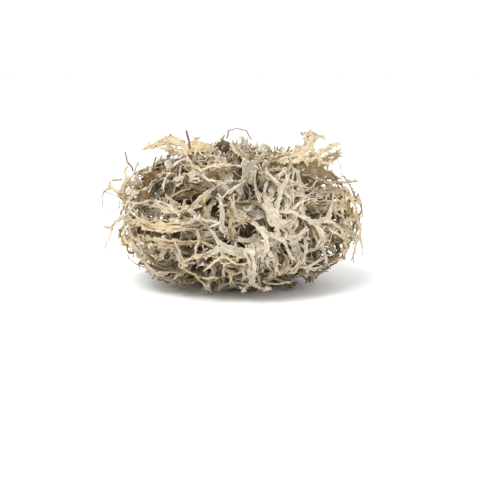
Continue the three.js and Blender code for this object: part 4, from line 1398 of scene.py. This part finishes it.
def laid(entry, seed, nodes=()):
    """The finished piece of one thallus, with its own habits."""
    habit = HABITS.get(entry["name"].removeprefix("thallus_"), {})
    edge = {key: habit[key] for key in ("spurs", "longest") if key in habit}
    form = {key: habit[key] for key in habit if key not in edge}
    thing = mesh_from(entry["name"] + "_sheet", sheet_of(entry["trunk"], seed, **form))
    return finished(thing, entry["name"] + "_fine", entry["tone"], seed - 100, nodes, **edge)


pieces = [laid(entry, 100 + number, [entry["name"]]) for number, entry in enumerate(guided + outer)]
print(triangles(*pieces), "triangles in", len(pieces), "thalli")

# %% [markdown]
# ## The matted inside
# Between the outer thalli the eye meets a dark mat of smaller ones. In the frame it is one solid with short
# thalli standing out of it. Here the same growth rule fills the room that is left: first small thalli close
# to the heart, then finer ones up to the outside. Scattered copies of one shape would be quicker to make,
# but they would cut through each other, and the rule keeps each strap clear of its neighbours.

# %% Thalli that only the scene has
# They stand where the eye meets broad plates, a curly tuft and filled hollows between the guided thalli.
NEAR = {"room": 0.8, "heart_gap": 0.84}  # how close they may come to other thalli and to the heart

ADDED = [
    plan_of(
        "hanging_tip", "grey", 62, 1.3, 1, 1.14, [(4.5, 19.5), (5.5, 14.5), (6, 9.5, 1), (6.5, 6.5, 0.8)],
        limit=1.28),
    plan_of(
        "plume_frill", "straw", 72, 2.2, 1, 0.92, [(23, 44.5), (28, 46, 2.8), (32.5, 48.5, 3.1)],
        end_level=1.2, limit=1.5, facing=FRONT),
    plan_of(
        "pitted_plate", "grey", 77, 2.2, 2, 1,
        [(3, 37.5), (3, 41.5, 2.9), (3.2, 45.5, 3.2), (3.2, 49.5, 2.8)],
        end_level=1.15, limit=1.3, facing=FRONT),
    plan_of(
        "top_net", "grey", 16, 1.8, 3, 0.99, [(-3, 38), (-4.5, 42, 2.2), (-5.5, 46, 2.4), (-7, 49.5, 2)],
        end_level=1.1, limit=1.25, facing=FRONT),
    plan_of(
        "right_curl", "straw", 24, 1.3, 2, 1.06,
        [(35, 30), (40, 30.5), (44, 28, 1.1), (43.5, 23.5, 1), (40, 22.5, 0.9)], end_level=1.12, limit=1.3),
    plan_of(
        "right_curl_upper", "straw", 82, 1.2, 3, 1.05, [(33, 36), (38, 36.5), (43, 34.5), (45, 31, 0.9)],
        end_level=1.12, limit=1.3),
    plan_of("middle_veil", "grey", 17, 1.6, 3, 0.97, [(1, 33), (5, 33), (8, 29), (8, 24.5), (5, 21.5)]),
    plan_of("middle_low", "brown", 44, 1.5, 3, 0.85, [(-1, 27), (3, 25), (5, 20.5), (10, 18)]),
    plan_of("left_hollow", "brown", 3, 1.4, 3, 0.93, [(-12, 38.5), (-17, 38), (-22, 37), (-27, 38)]),
    plan_of("right_veil", "grey", 75, 1.5, 3, 0.95, [(13, 40), (17, 38), (19, 33.5), (17.5, 29)]),
    plan_of("core_veil", "grey", 6, 1.5, 3, 0.74, [(10, 29), (6, 27.5), (2, 26), (-1, 23)], limit=1.05),
]
added = grow_guided(ADDED, **NEAR)
pieces = [laid(entry, 300 + number) for number, entry in enumerate(added)]
print(triangles(*pieces), "triangles in", len(pieces), "added thalli")

# %% Fill the room that is left
INNER = {
    "count": 70, "seed": 7000, "fewest": 8, "forks": 2, "heart_gap": 0.84, "room": 0.95,
    "level": 0.62, "level_span": 0.16, "half": 1.3, "half_span": 0.6,
}
BETWEEN = {
    "count": 190, "seed": 9000, "fewest": 8, "forks": 3, "heart_gap": 0.84, "room": 0.8,
    "level": 0.7, "level_span": 0.2, "half": 0.85, "half_span": 0.4, "widest": 24,
}
inner = grow_family(INNER, "inner")
between = grow_family(BETWEEN, "between")
print(len(inner), "inner thalli and", len(between), "between them")

# %% The heart: a dented core and the thalli fused with it
CORE_DENT = 0.2  # depth of its dents, as a share of its size
CORE_FOLD, CORE_WRINKLE = 6.0, 2.2  # size of its waves
CORE_FLOOR, CORE_RISE = 2, 8  # height at which its dents start, and over which they deepen


def joined(things):
    """Several objects made one."""
    if len(things) > 1:
        with bpy.context.temp_override(active_object=things[0], selected_editable_objects=things):
            bpy.ops.object.join()
    return things[0]


def matted(name, entries, seed):
    """One sheet object from many small thalli, which need fewer faces."""
    sheets = [sheet_of(entry["trunk"], seed + k, False) for k, entry in enumerate(entries)]
    return joined([mesh_from(f"{name}_{k}", sheet) for k, sheet in enumerate(sheets)])


def core_object():
    """A crumpled oval that the floor cuts to a flat spot."""
    bpy.ops.mesh.primitive_ico_sphere_add(subdivisions=5, radius=1)
    core = bpy.context.object
    for vertex in core.data.vertices:
        way = vertex.co
        smooth = point_of(HEART, (way.x, way.y, way.z + HEART["middle"]), 1)
        fold = clamp(0.5 + 1.3 * wave(smooth, CORE_FOLD) + 0.7 * wave(smooth, CORE_WRINKLE), 0, 1)
        dent = CORE_DENT * (0.3 + 0.7 * fold) * clamp((smooth[2] - CORE_FLOOR) / CORE_RISE, 0, 1)
        point = point_of(HEART, smooth, 1 - dent)
        vertex.co = (point[0] * MM, point[1] * MM, max(0.0, point[2]) * MM)
    core.data.polygons.foreach_set("use_smooth", [True] * len(core.data.polygons))
    return core


core = core_object()
core.data.materials.append(looks["heart"])
heart_sheet = matted("heart_sheet", fused + inner, seed=3000)
heart_mat = finished(heart_sheet, "matted_heart_thalli", "heart", seed=90)
core.name = "matted_heart_core"
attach(core, "root")
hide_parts("matted_heart")
print(triangles(heart_mat), "triangles in the heart's thalli")

for number, look in enumerate(("grey", "straw", "brown")):
    entries = [entry for entry in between if entry["tone"] == look]
    sheet = matted(f"between_{look}_sheet", entries, seed=5000 + 100 * number)
    piece = finished(sheet, f"small_thalli_{look}", look, seed=91 + number, spurs=0.05)
    print(triangles(piece), "triangles in", piece.name)

# %% [markdown]
# ## Twigs and fibres
# Thin dark twigs and hair-like fibres stick out of the clump. Each one is a tube along a path, so one
# Geometry Nodes tree makes them all: it turns a line of points into a curve, lets the radius vary, sweeps a
# ring along it and roughens the skin. The twigs' paths come from the part's plan, and each is moved so that
# its box lies on the box of its solid.

# %% The tree that makes a twig
twigs, start, finish = new_group(
    "Twig along a path", "GeometryNodeTree",
    [
        ("Geometry", "Geometry"), ("Radius", "Float", 0.4 * MM), ("Sides", "Int", 10),
        ("Ring spacing", "Float", 0.3 * MM), ("Unevenness", "Float", 0.35), ("Look", "Material"),
    ],
    [("Geometry", "Geometry")],
)
course = twigs.put("GeometryNodeMeshToCurve", {"Mesh": start["Geometry"]})
course = twigs.put("GeometryNodeCurveSplineType", {"Curve": course}, spline_type="CATMULL_ROM")
course = twigs.put("GeometryNodeSetSplineResolution", {"Geometry": course, "Resolution": 8})
course = twigs.put(
    "GeometryNodeResampleCurve", {"Curve": course, "Length": start["Ring spacing"]}, mode="LENGTH")
where = twigs.put("GeometryNodeInputPosition")
knots = twigs.maths("SUBTRACT", twigs.noise(where, scale=420.0, detail=3.0), 0.5)
share = twigs.maths("ADD", 1.0, twigs.product(knots, twigs.product(start["Unevenness"], 2.0)))
along = twigs.put("GeometryNodeSplineParameter", out="Factor")
taper = twigs.ranged(along, 0.0, 1.0, 1.0, 0.72, "LINEAR")
radius = twigs.product(twigs.product(start["Radius"], share), taper)
circle = {"Resolution": start["Sides"], "Radius": 1.0}
ring = twigs.put("GeometryNodeCurvePrimitiveCircle", circle, mode="RADIUS")
swept = twigs.put("GeometryNodeCurveToMesh", {
    "Curve": course, "Profile Curve": ring, "Scale": radius, "Fill Caps": True,
})
bark = twigs.maths("SUBTRACT", twigs.noise(where, scale=1800.0, detail=3.0), 0.5)
relief_depth = twigs.product(bark, twigs.product(start["Radius"], 0.5))
offset = twigs.scaled(twigs.put("GeometryNodeInputNormal"), relief_depth)
rough = twigs.put("GeometryNodeSetPosition", {"Geometry": swept, "Offset": offset})
smooth = twigs.put("GeometryNodeSetShadeSmooth", {"Geometry": rough})
real = twigs.put("GeometryNodeRealizeInstances", {0: smooth})
painted = twigs.put("GeometryNodeSetMaterial", {"Geometry": real, "Material": start["Look"]})
twigs.link(painted, finish["Geometry"])


def twig(name, lines, look, radius, sides, spacing, nodes=()):
    """A piece of tubes along open lines of points in millimetres."""
    points, edges = [], []
    for line in lines:
        edges += [(len(points) + k, len(points) + k + 1) for k in range(len(line) - 1)]
        points += line
    thing = in_scene(name + "_lines", new_mesh(name + "_lines", points, [], edges))
    shape_with(thing, twigs.tree, {
        "Radius": radius * MM, "Sides": sides, "Ring spacing": spacing * MM, "Look": looks[look],
    })
    return made_real(thing, name, look, nodes)


# %% The twigs
# Each by its radius, the way that it leans, and the points of its path.
STICKS = {
    "upright_twig": (0.46, (-0.12, -0.1, 1), [(0.3, 0, 0), (0, 0, 2.5), (-0.4, 0, 7)]),
    "bent_fibre": (
        0.24, (0, -0.1, 1), [(-4.5, 0, 0.5), (-3.8, 0, 3.2), (-1, -0.3, 4.8), (3, 0.5, 3.4), (5, 1, 0)]),
    "thin_twig_left": (0.3, (-0.35, -0.3, 1), [(0.5, 0, 0), (0, 0, 4), (0.4, 0, 8)]),
    "thin_twig_middle": (0.3, (-0.1, -0.3, 1), [(0, 0, 0), (0.4, 0, 4), (0, 0, 8)]),
    "thin_twig_right": (0.36, (0.1, -0.25, 1), [(0, 0, 0), (-0.4, 0, 4), (0.3, 0, 8)]),
}
KINK = 0.3  # how far a dry twig strays from its even line


def kinked(line, draw):
    """A line with a point more in the middle of each part, and all of its inner points put off a little."""
    finer = [line[0]]
    for a, b in zip(line, line[1:]):
        finer += [0.5 * (a + b), b]
    shake = [Vector(any_way(draw)) * 2 * KINK for _ in finer]
    return [finer[0], *[point + off for point, off in zip(finer[1:-1], shake)], finer[-1]]


draw_kink = number_stream(31)
for name, (radius, lean, path) in STICKS.items():
    turn = Vector((0, 0, 1)).rotation_difference(Vector(lean).normalized())
    turned = [turn @ Vector(point) for point in path]
    low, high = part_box(name)
    middle = (low + high) / (2 * MM)
    own = [0.5 * (min(p[axis] for p in turned) + max(p[axis] for p in turned)) for axis in range(3)]
    line = kinked([point - Vector(own) + middle for point in turned], draw_kink)
    twig(name + "_fine", [line], "twig", radius, sides=10, spacing=0.3, nodes=[name])

# %% Loose fibres
# Hair-thin fibres lie over the clump. Each goes from one strap to another in a bow, so none hangs in the air.
FIBRE = {"shortest": 6, "longest": 17, "bow": 0.1, "bow_span": 0.14, "shake": 0.7, "points": 8, "lift": 0.2}
FIBRE_LEVEL, FIBRE_FLOOR = 0.9, 8  # least level and least height of a fibre's ends
LONG_LEVEL = 1.03  # level of the ends of the long fibres, each given by (across, up)
LONG_FIBRES = [[(-24.5, 37), (-11, 29)], [(-27, 31), (-16, 40)], [(-38, 30), (-24, 26)], [(20, 39), (29, 33)]]


def fibre_between(a, b, draw):
    """A line of points from one place on the clump to another."""
    bow = math.dist(a, b) * (FIBRE["bow"] + FIBRE["bow_span"] * draw())
    line = []
    for k in range(FIBRE["points"] + 1):
        t = k / FIBRE["points"]
        arch = 4 * t * (1 - t)
        point = plus(a, minus(b, a), t)
        shake = any_way(draw)
        point = plus(point, outward(MOUND, point), FIBRE["lift"] + bow * arch)
        line.append(plus(point, shake, FIBRE["shake"] * arch))
    return line


def fibre_lines(count, seed):
    """Fibres between stations of the outer thalli, drawn at random."""
    draw = number_stream(seed)
    spots = [
        station.at for entry in guided + outer for strap in straps_of(entry["trunk"])
        for station in strap.stations if level_in(MOUND, station.at) > FIBRE_LEVEL
    ]
    lines = []
    while len(lines) < count:
        a, b = [spots[int(draw() * len(spots))] for _ in range(2)]
        if FIBRE["shortest"] < math.dist(a, b) < FIBRE["longest"] and min(a[2], b[2]) > FIBRE_FLOOR:
            lines.append(fibre_between(a, b, draw))
    return lines


long_draw = number_stream(77)
long_lines = [
    fibre_between(*[front_point(*end, LONG_LEVEL) for end in ends], long_draw) for ends in LONG_FIBRES
]
pale_lines = fibre_lines(count=70, seed=41) + long_lines
dark_lines = fibre_lines(count=22, seed=43)
twig("pale_fibres", pale_lines, "fibre", radius=0.15, sides=5, spacing=0.8)
twig("dark_fibres", dark_lines, "twig", radius=0.13, sides=5, spacing=0.8)
print(len(pale_lines), "pale fibres and", len(dark_lines), "dark ones")

# %% The mealy frayed tip
# The strap that hangs at the front ends in a whitish fringe: there its tips have gone to mealy grains.
FRINGE = {
    "count": 8, "shortest": 0.9, "longest": 2.0, "spread": 1.5, "tilt": 1.2, "root": 0.3, "bend": 0.5,
    "side_bend": 1.6,
}


def fringe_lines(tip, draw):
    """Short lines that fan out from a strap's tip."""
    lines = []
    for k in range(FRINGE["count"]):
        turn = FRINGE["spread"] * (2 * k / (FRINGE["count"] - 1) - 1)
        way = unit(plus(plus(tip.along, tip.side, turn), tip.normal, FRINGE["tilt"] * (draw() - 0.5)))
        length = FRINGE["shortest"] + (FRINGE["longest"] - FRINGE["shortest"]) * draw()
        middle = plus(tip.at, way, 0.5 * length)
        bend = any_way(draw)
        bent = plus(middle, bend, FRINGE["bend"])
        lines.append([plus(tip.at, way, -FRINGE["root"]), bent, plus(tip.at, way, length)])
        lines.append([bent, plus(plus(middle, way, 0.5 * length), bend, FRINGE["side_bend"])])
    return lines


ends = [strap.stations[-1] for strap in straps_of(added[0]["trunk"]) if not strap.children]
fringe_draw = number_stream(5)
fringe = [line for end in ends for line in fringe_lines(end, fringe_draw)]
twig("mealy_tip", fringe, "mealy", radius=0.26, sides=6, spacing=0.3)
print("mealy tips at", [[round(c, 1) for c in end.at] for end in ends])

# %% [markdown]
# ## Scraps of bark and leaf
# The bark scrap is layered and split along its grain, and the leaf scraps are brittle, crumpled sheets with
# torn edges. Their place, length and width are read off the solids: the longest and the shortest way through
# a solid's points tell how it lies.

# %% A scrap in the place of its solid
# A scrap's sides and ends are torn off a little inside those of its solid: the share that is left, how much
# of it the tears take, and the size of their waves.
SIDE_SHARE, SIDE_TEAR, SIDE_WAVES = 0.86, 0.3, 1.5
END_SHARE, END_TEAR, END_WAVES = 0.92, 0.25, 1.2
ROUNDING = 0.75  # how much narrower a scrap gets to its ends
BIG_WAVES, SMALL_WAVES = 2.2, 1.0  # size of its creases
SCRAP_CUP = 0.35  # how far its sides curl up, as a share of its creases' height


def lie_of(node):
    """A solid's middle, its long, wide and flat ways, and its half sizes along them, in millimetres."""
    points = np.array([v.co for v in frame["nodes"][node].data.vertices]) / MM
    middle = 0.5 * (points.min(0) + points.max(0))
    _, _, ways = np.linalg.svd(points - points.mean(0), full_matrices=False)
    spans = [(points - middle) @ way for way in ways]
    middle = middle + sum(0.5 * (span.max() + span.min()) * way for span, way in zip(spans, ways))
    halves = [0.5 * (span.max() - span.min()) for span in spans]
    if ways[2][2] < 0:
        ways = -ways
    return middle, ways, halves


def torn_sheet(name, lie, columns, rows, crease, seed, size=1.0, layer=0.0):
    """A crumpled sheet with a torn outline that fills a place given by its middle, ways and half sizes."""
    middle, ways, halves = lie
    points = []
    for j in range(rows + 1):
        v = 2 * j / rows - 1
        for k in range(columns + 1):
            u = 2 * k / columns - 1
            spot = middle + ways[0] * u * halves[0] + ways[1] * v * halves[1]
            round_off = math.sqrt(max(0.0, 1 - ROUNDING * u * u))
            torn = wave(spot * (1 + 0.3 * abs(v)), SIDE_WAVES, seed + 2.0)
            tear = SIDE_SHARE + SIDE_TEAR * torn * abs(v)
            tear_end = END_SHARE + END_TEAR * wave(spot, END_WAVES, seed + 8.0) * abs(u)
            point = middle + ways[0] * u * halves[0] * size * tear_end
            point = point + ways[1] * v * halves[1] * size * tear * round_off
            crumpled = wave(point, BIG_WAVES, seed) + 0.5 * wave(point, SMALL_WAVES, seed + 4.0)
            lift = layer + crease * crumpled + SCRAP_CUP * v * v * crease
            points.append(point + ways[2] * lift)
    width = columns + 1
    corners = [(j * width + k) for j in range(rows) for k in range(columns)]
    faces = [(first, first + 1, first + width + 1, first + width) for first in corners]
    return in_scene(name, new_mesh(name, points, faces))


def scrap(name, look, sheets, thickness, nodes=()):
    """Joins sheets, gives them a thickness and makes them one piece."""
    thing = joined(sheets)
    thing.data.materials.append(looks[look])
    thicken(thing, thickness)
    return made_real(thing, name, look, nodes)


# Each leaf scrap by its look, how deeply it is crumpled, and its seed.
LEAF_SCRAPS = {
    "leaf_scrap_upper": ("leaf", 2.0, 1.0),
    "leaf_scrap_lower": ("leaf", 1.8, 5.0),
    "rust_flake": ("rust", 0.9, 9.0),
}
for name, (look, crease, seed) in LEAF_SCRAPS.items():
    leaf = torn_sheet(name + "_sheet", lie_of(name), 26, 16, crease, seed)
    scrap(name + "_fine", look, [leaf], thickness=0.22, nodes=[name])

bark_lie = lie_of("bark_scrap")
layers = [
    torn_sheet(
        f"bark_layer_{k}", bark_lie, 20, 12, crease=0.4, seed=20.0 + 3 * k, size=1.0 - 0.1 * k,
        layer=0.4 * (k - 1))
    for k in range(3)
]
scrap("bark_scrap_fine", "bark", layers, thickness=0.3, nodes=["bark_scrap"])

# %% Crumbs of leaf
# Small bits of the same brittle leaves lie scattered on the clump: across, up and half length of each.
CRUMBS = [
    (-29.5, 45, 4.0), (-26, 44, 3.8), (-22.5, 45, 2.8), (-27.5, 41.5, 4.0), (-23.5, 40, 3.0),
    (-34, 40.5, 2.4), (-30.5, 38, 3.0), (-19.5, 39, 2.4), (-18, 43, 2.0), (-8, 50.5, 1.8),
    (16.5, 47.5, 1.8), (13.5, 45.5, 1.4), (-36.5, 23, 1.7), (-12, 16, 1.4), (24.5, 17.5, 1.5),
]
CRUMB = {"level": 1.05, "tilt": 1.4, "width": 0.5, "width_span": 0.3, "crease": 0.5}


def crumb_lie(across, up, half, draw):
    """A crumb's place: on the mound's front, flat against it but for a tilt."""
    middle = front_point(across, up, CRUMB["level"])
    flat = unit(plus(outward(MOUND, middle), any_way(draw), CRUMB["tilt"]))
    long_way = square_to(any_way(draw), flat)
    ways = np.array([long_way, cross(flat, long_way), flat])
    return np.array(middle), ways, (half, half * (CRUMB["width"] + CRUMB["width_span"] * draw()))


draw_crumb = number_stream(17)
crumbs = [
    torn_sheet(
        f"crumb_{k}", crumb_lie(*crumb, draw_crumb), 10, 7, crease=CRUMB["crease"] * crumb[2], seed=2.0 * k)
    for k, crumb in enumerate(CRUMBS)
]
piece = scrap("leaf_crumbs", "leaf", crumbs, thickness=0.2)
print(triangles(piece), "triangles in", len(crumbs), "crumbs")

# %% [markdown]
# ## The studio
# A plain product picture shows the clump best: a pale floor, a white surrounding, a strong soft light from
# above and a weak one from the right.

# %% Floor, lights and camera
FLOOR = {"size": 6.0, "grey": 0.94, "roughness": 0.5}
bpy.ops.mesh.primitive_plane_add(size=FLOOR["size"])
floor = bpy.context.object
floor.name = "floor"
pale, _, shader = new_material("pale_floor", specular=0.5)
shader["Base Color"].default_value = (FLOOR["grey"], FLOOR["grey"], FLOOR["grey"], 1)
shader["Roughness"].default_value = FLOOR["roughness"]
floor.data.materials.append(pale)

world = bpy.data.worlds.new("studio")
world.use_nodes = True
sky = world.node_tree.nodes["Background"].inputs
sky["Color"].default_value, sky["Strength"].default_value = (1, 1, 1, 1), 1.05
bpy.context.scene.world = world
bpy.context.scene.view_settings.view_transform = "Standard"


def looking(name, data, place, target):
    """A light or a camera at a place, turned to a target."""
    thing = in_scene(name, data)
    thing.location = place
    thing.rotation_euler = (Vector(target) - Vector(place)).to_track_quat("-Z", "Y").to_euler()
    return thing


MIDDLE = (0, 0, 0.025)
LIGHTS = {"key": ((-0.25, -0.4, 0.7), 0.35, 5.5), "fill": ((0.6, -0.4, 0.35), 0.5, 1)}
for name, (place, size, power) in LIGHTS.items():
    lamp = bpy.data.lights.new(name, "AREA")
    lamp.size, lamp.energy = size, power
    looking(name, lamp, place, MIDDLE)

CAMERA = {
    "elevation": 10.0, "distance": 0.435, "target": (0.00154, 0.0, 0.0168),
    "sensor": 36.0, "mm_per_px": 0.385,
}
WIDTH_PX = 480
angle = math.radians(CAMERA["elevation"])
lens = bpy.data.cameras.new("camera")
lens.sensor_width = CAMERA["sensor"]
lens.lens = CAMERA["sensor"] * CAMERA["distance"] / (WIDTH_PX * CAMERA["mm_per_px"] * MM)
lens.clip_start, lens.clip_end = 0.01, 20
away = CAMERA["distance"] * Vector((0, -math.cos(angle), math.sin(angle)))
bpy.context.scene.camera = looking("camera", lens, Vector(CAMERA["target"]) + away, CAMERA["target"])

# %% Sizes
print([round(1000 * v, 2) for corner in cad_box for v in corner])
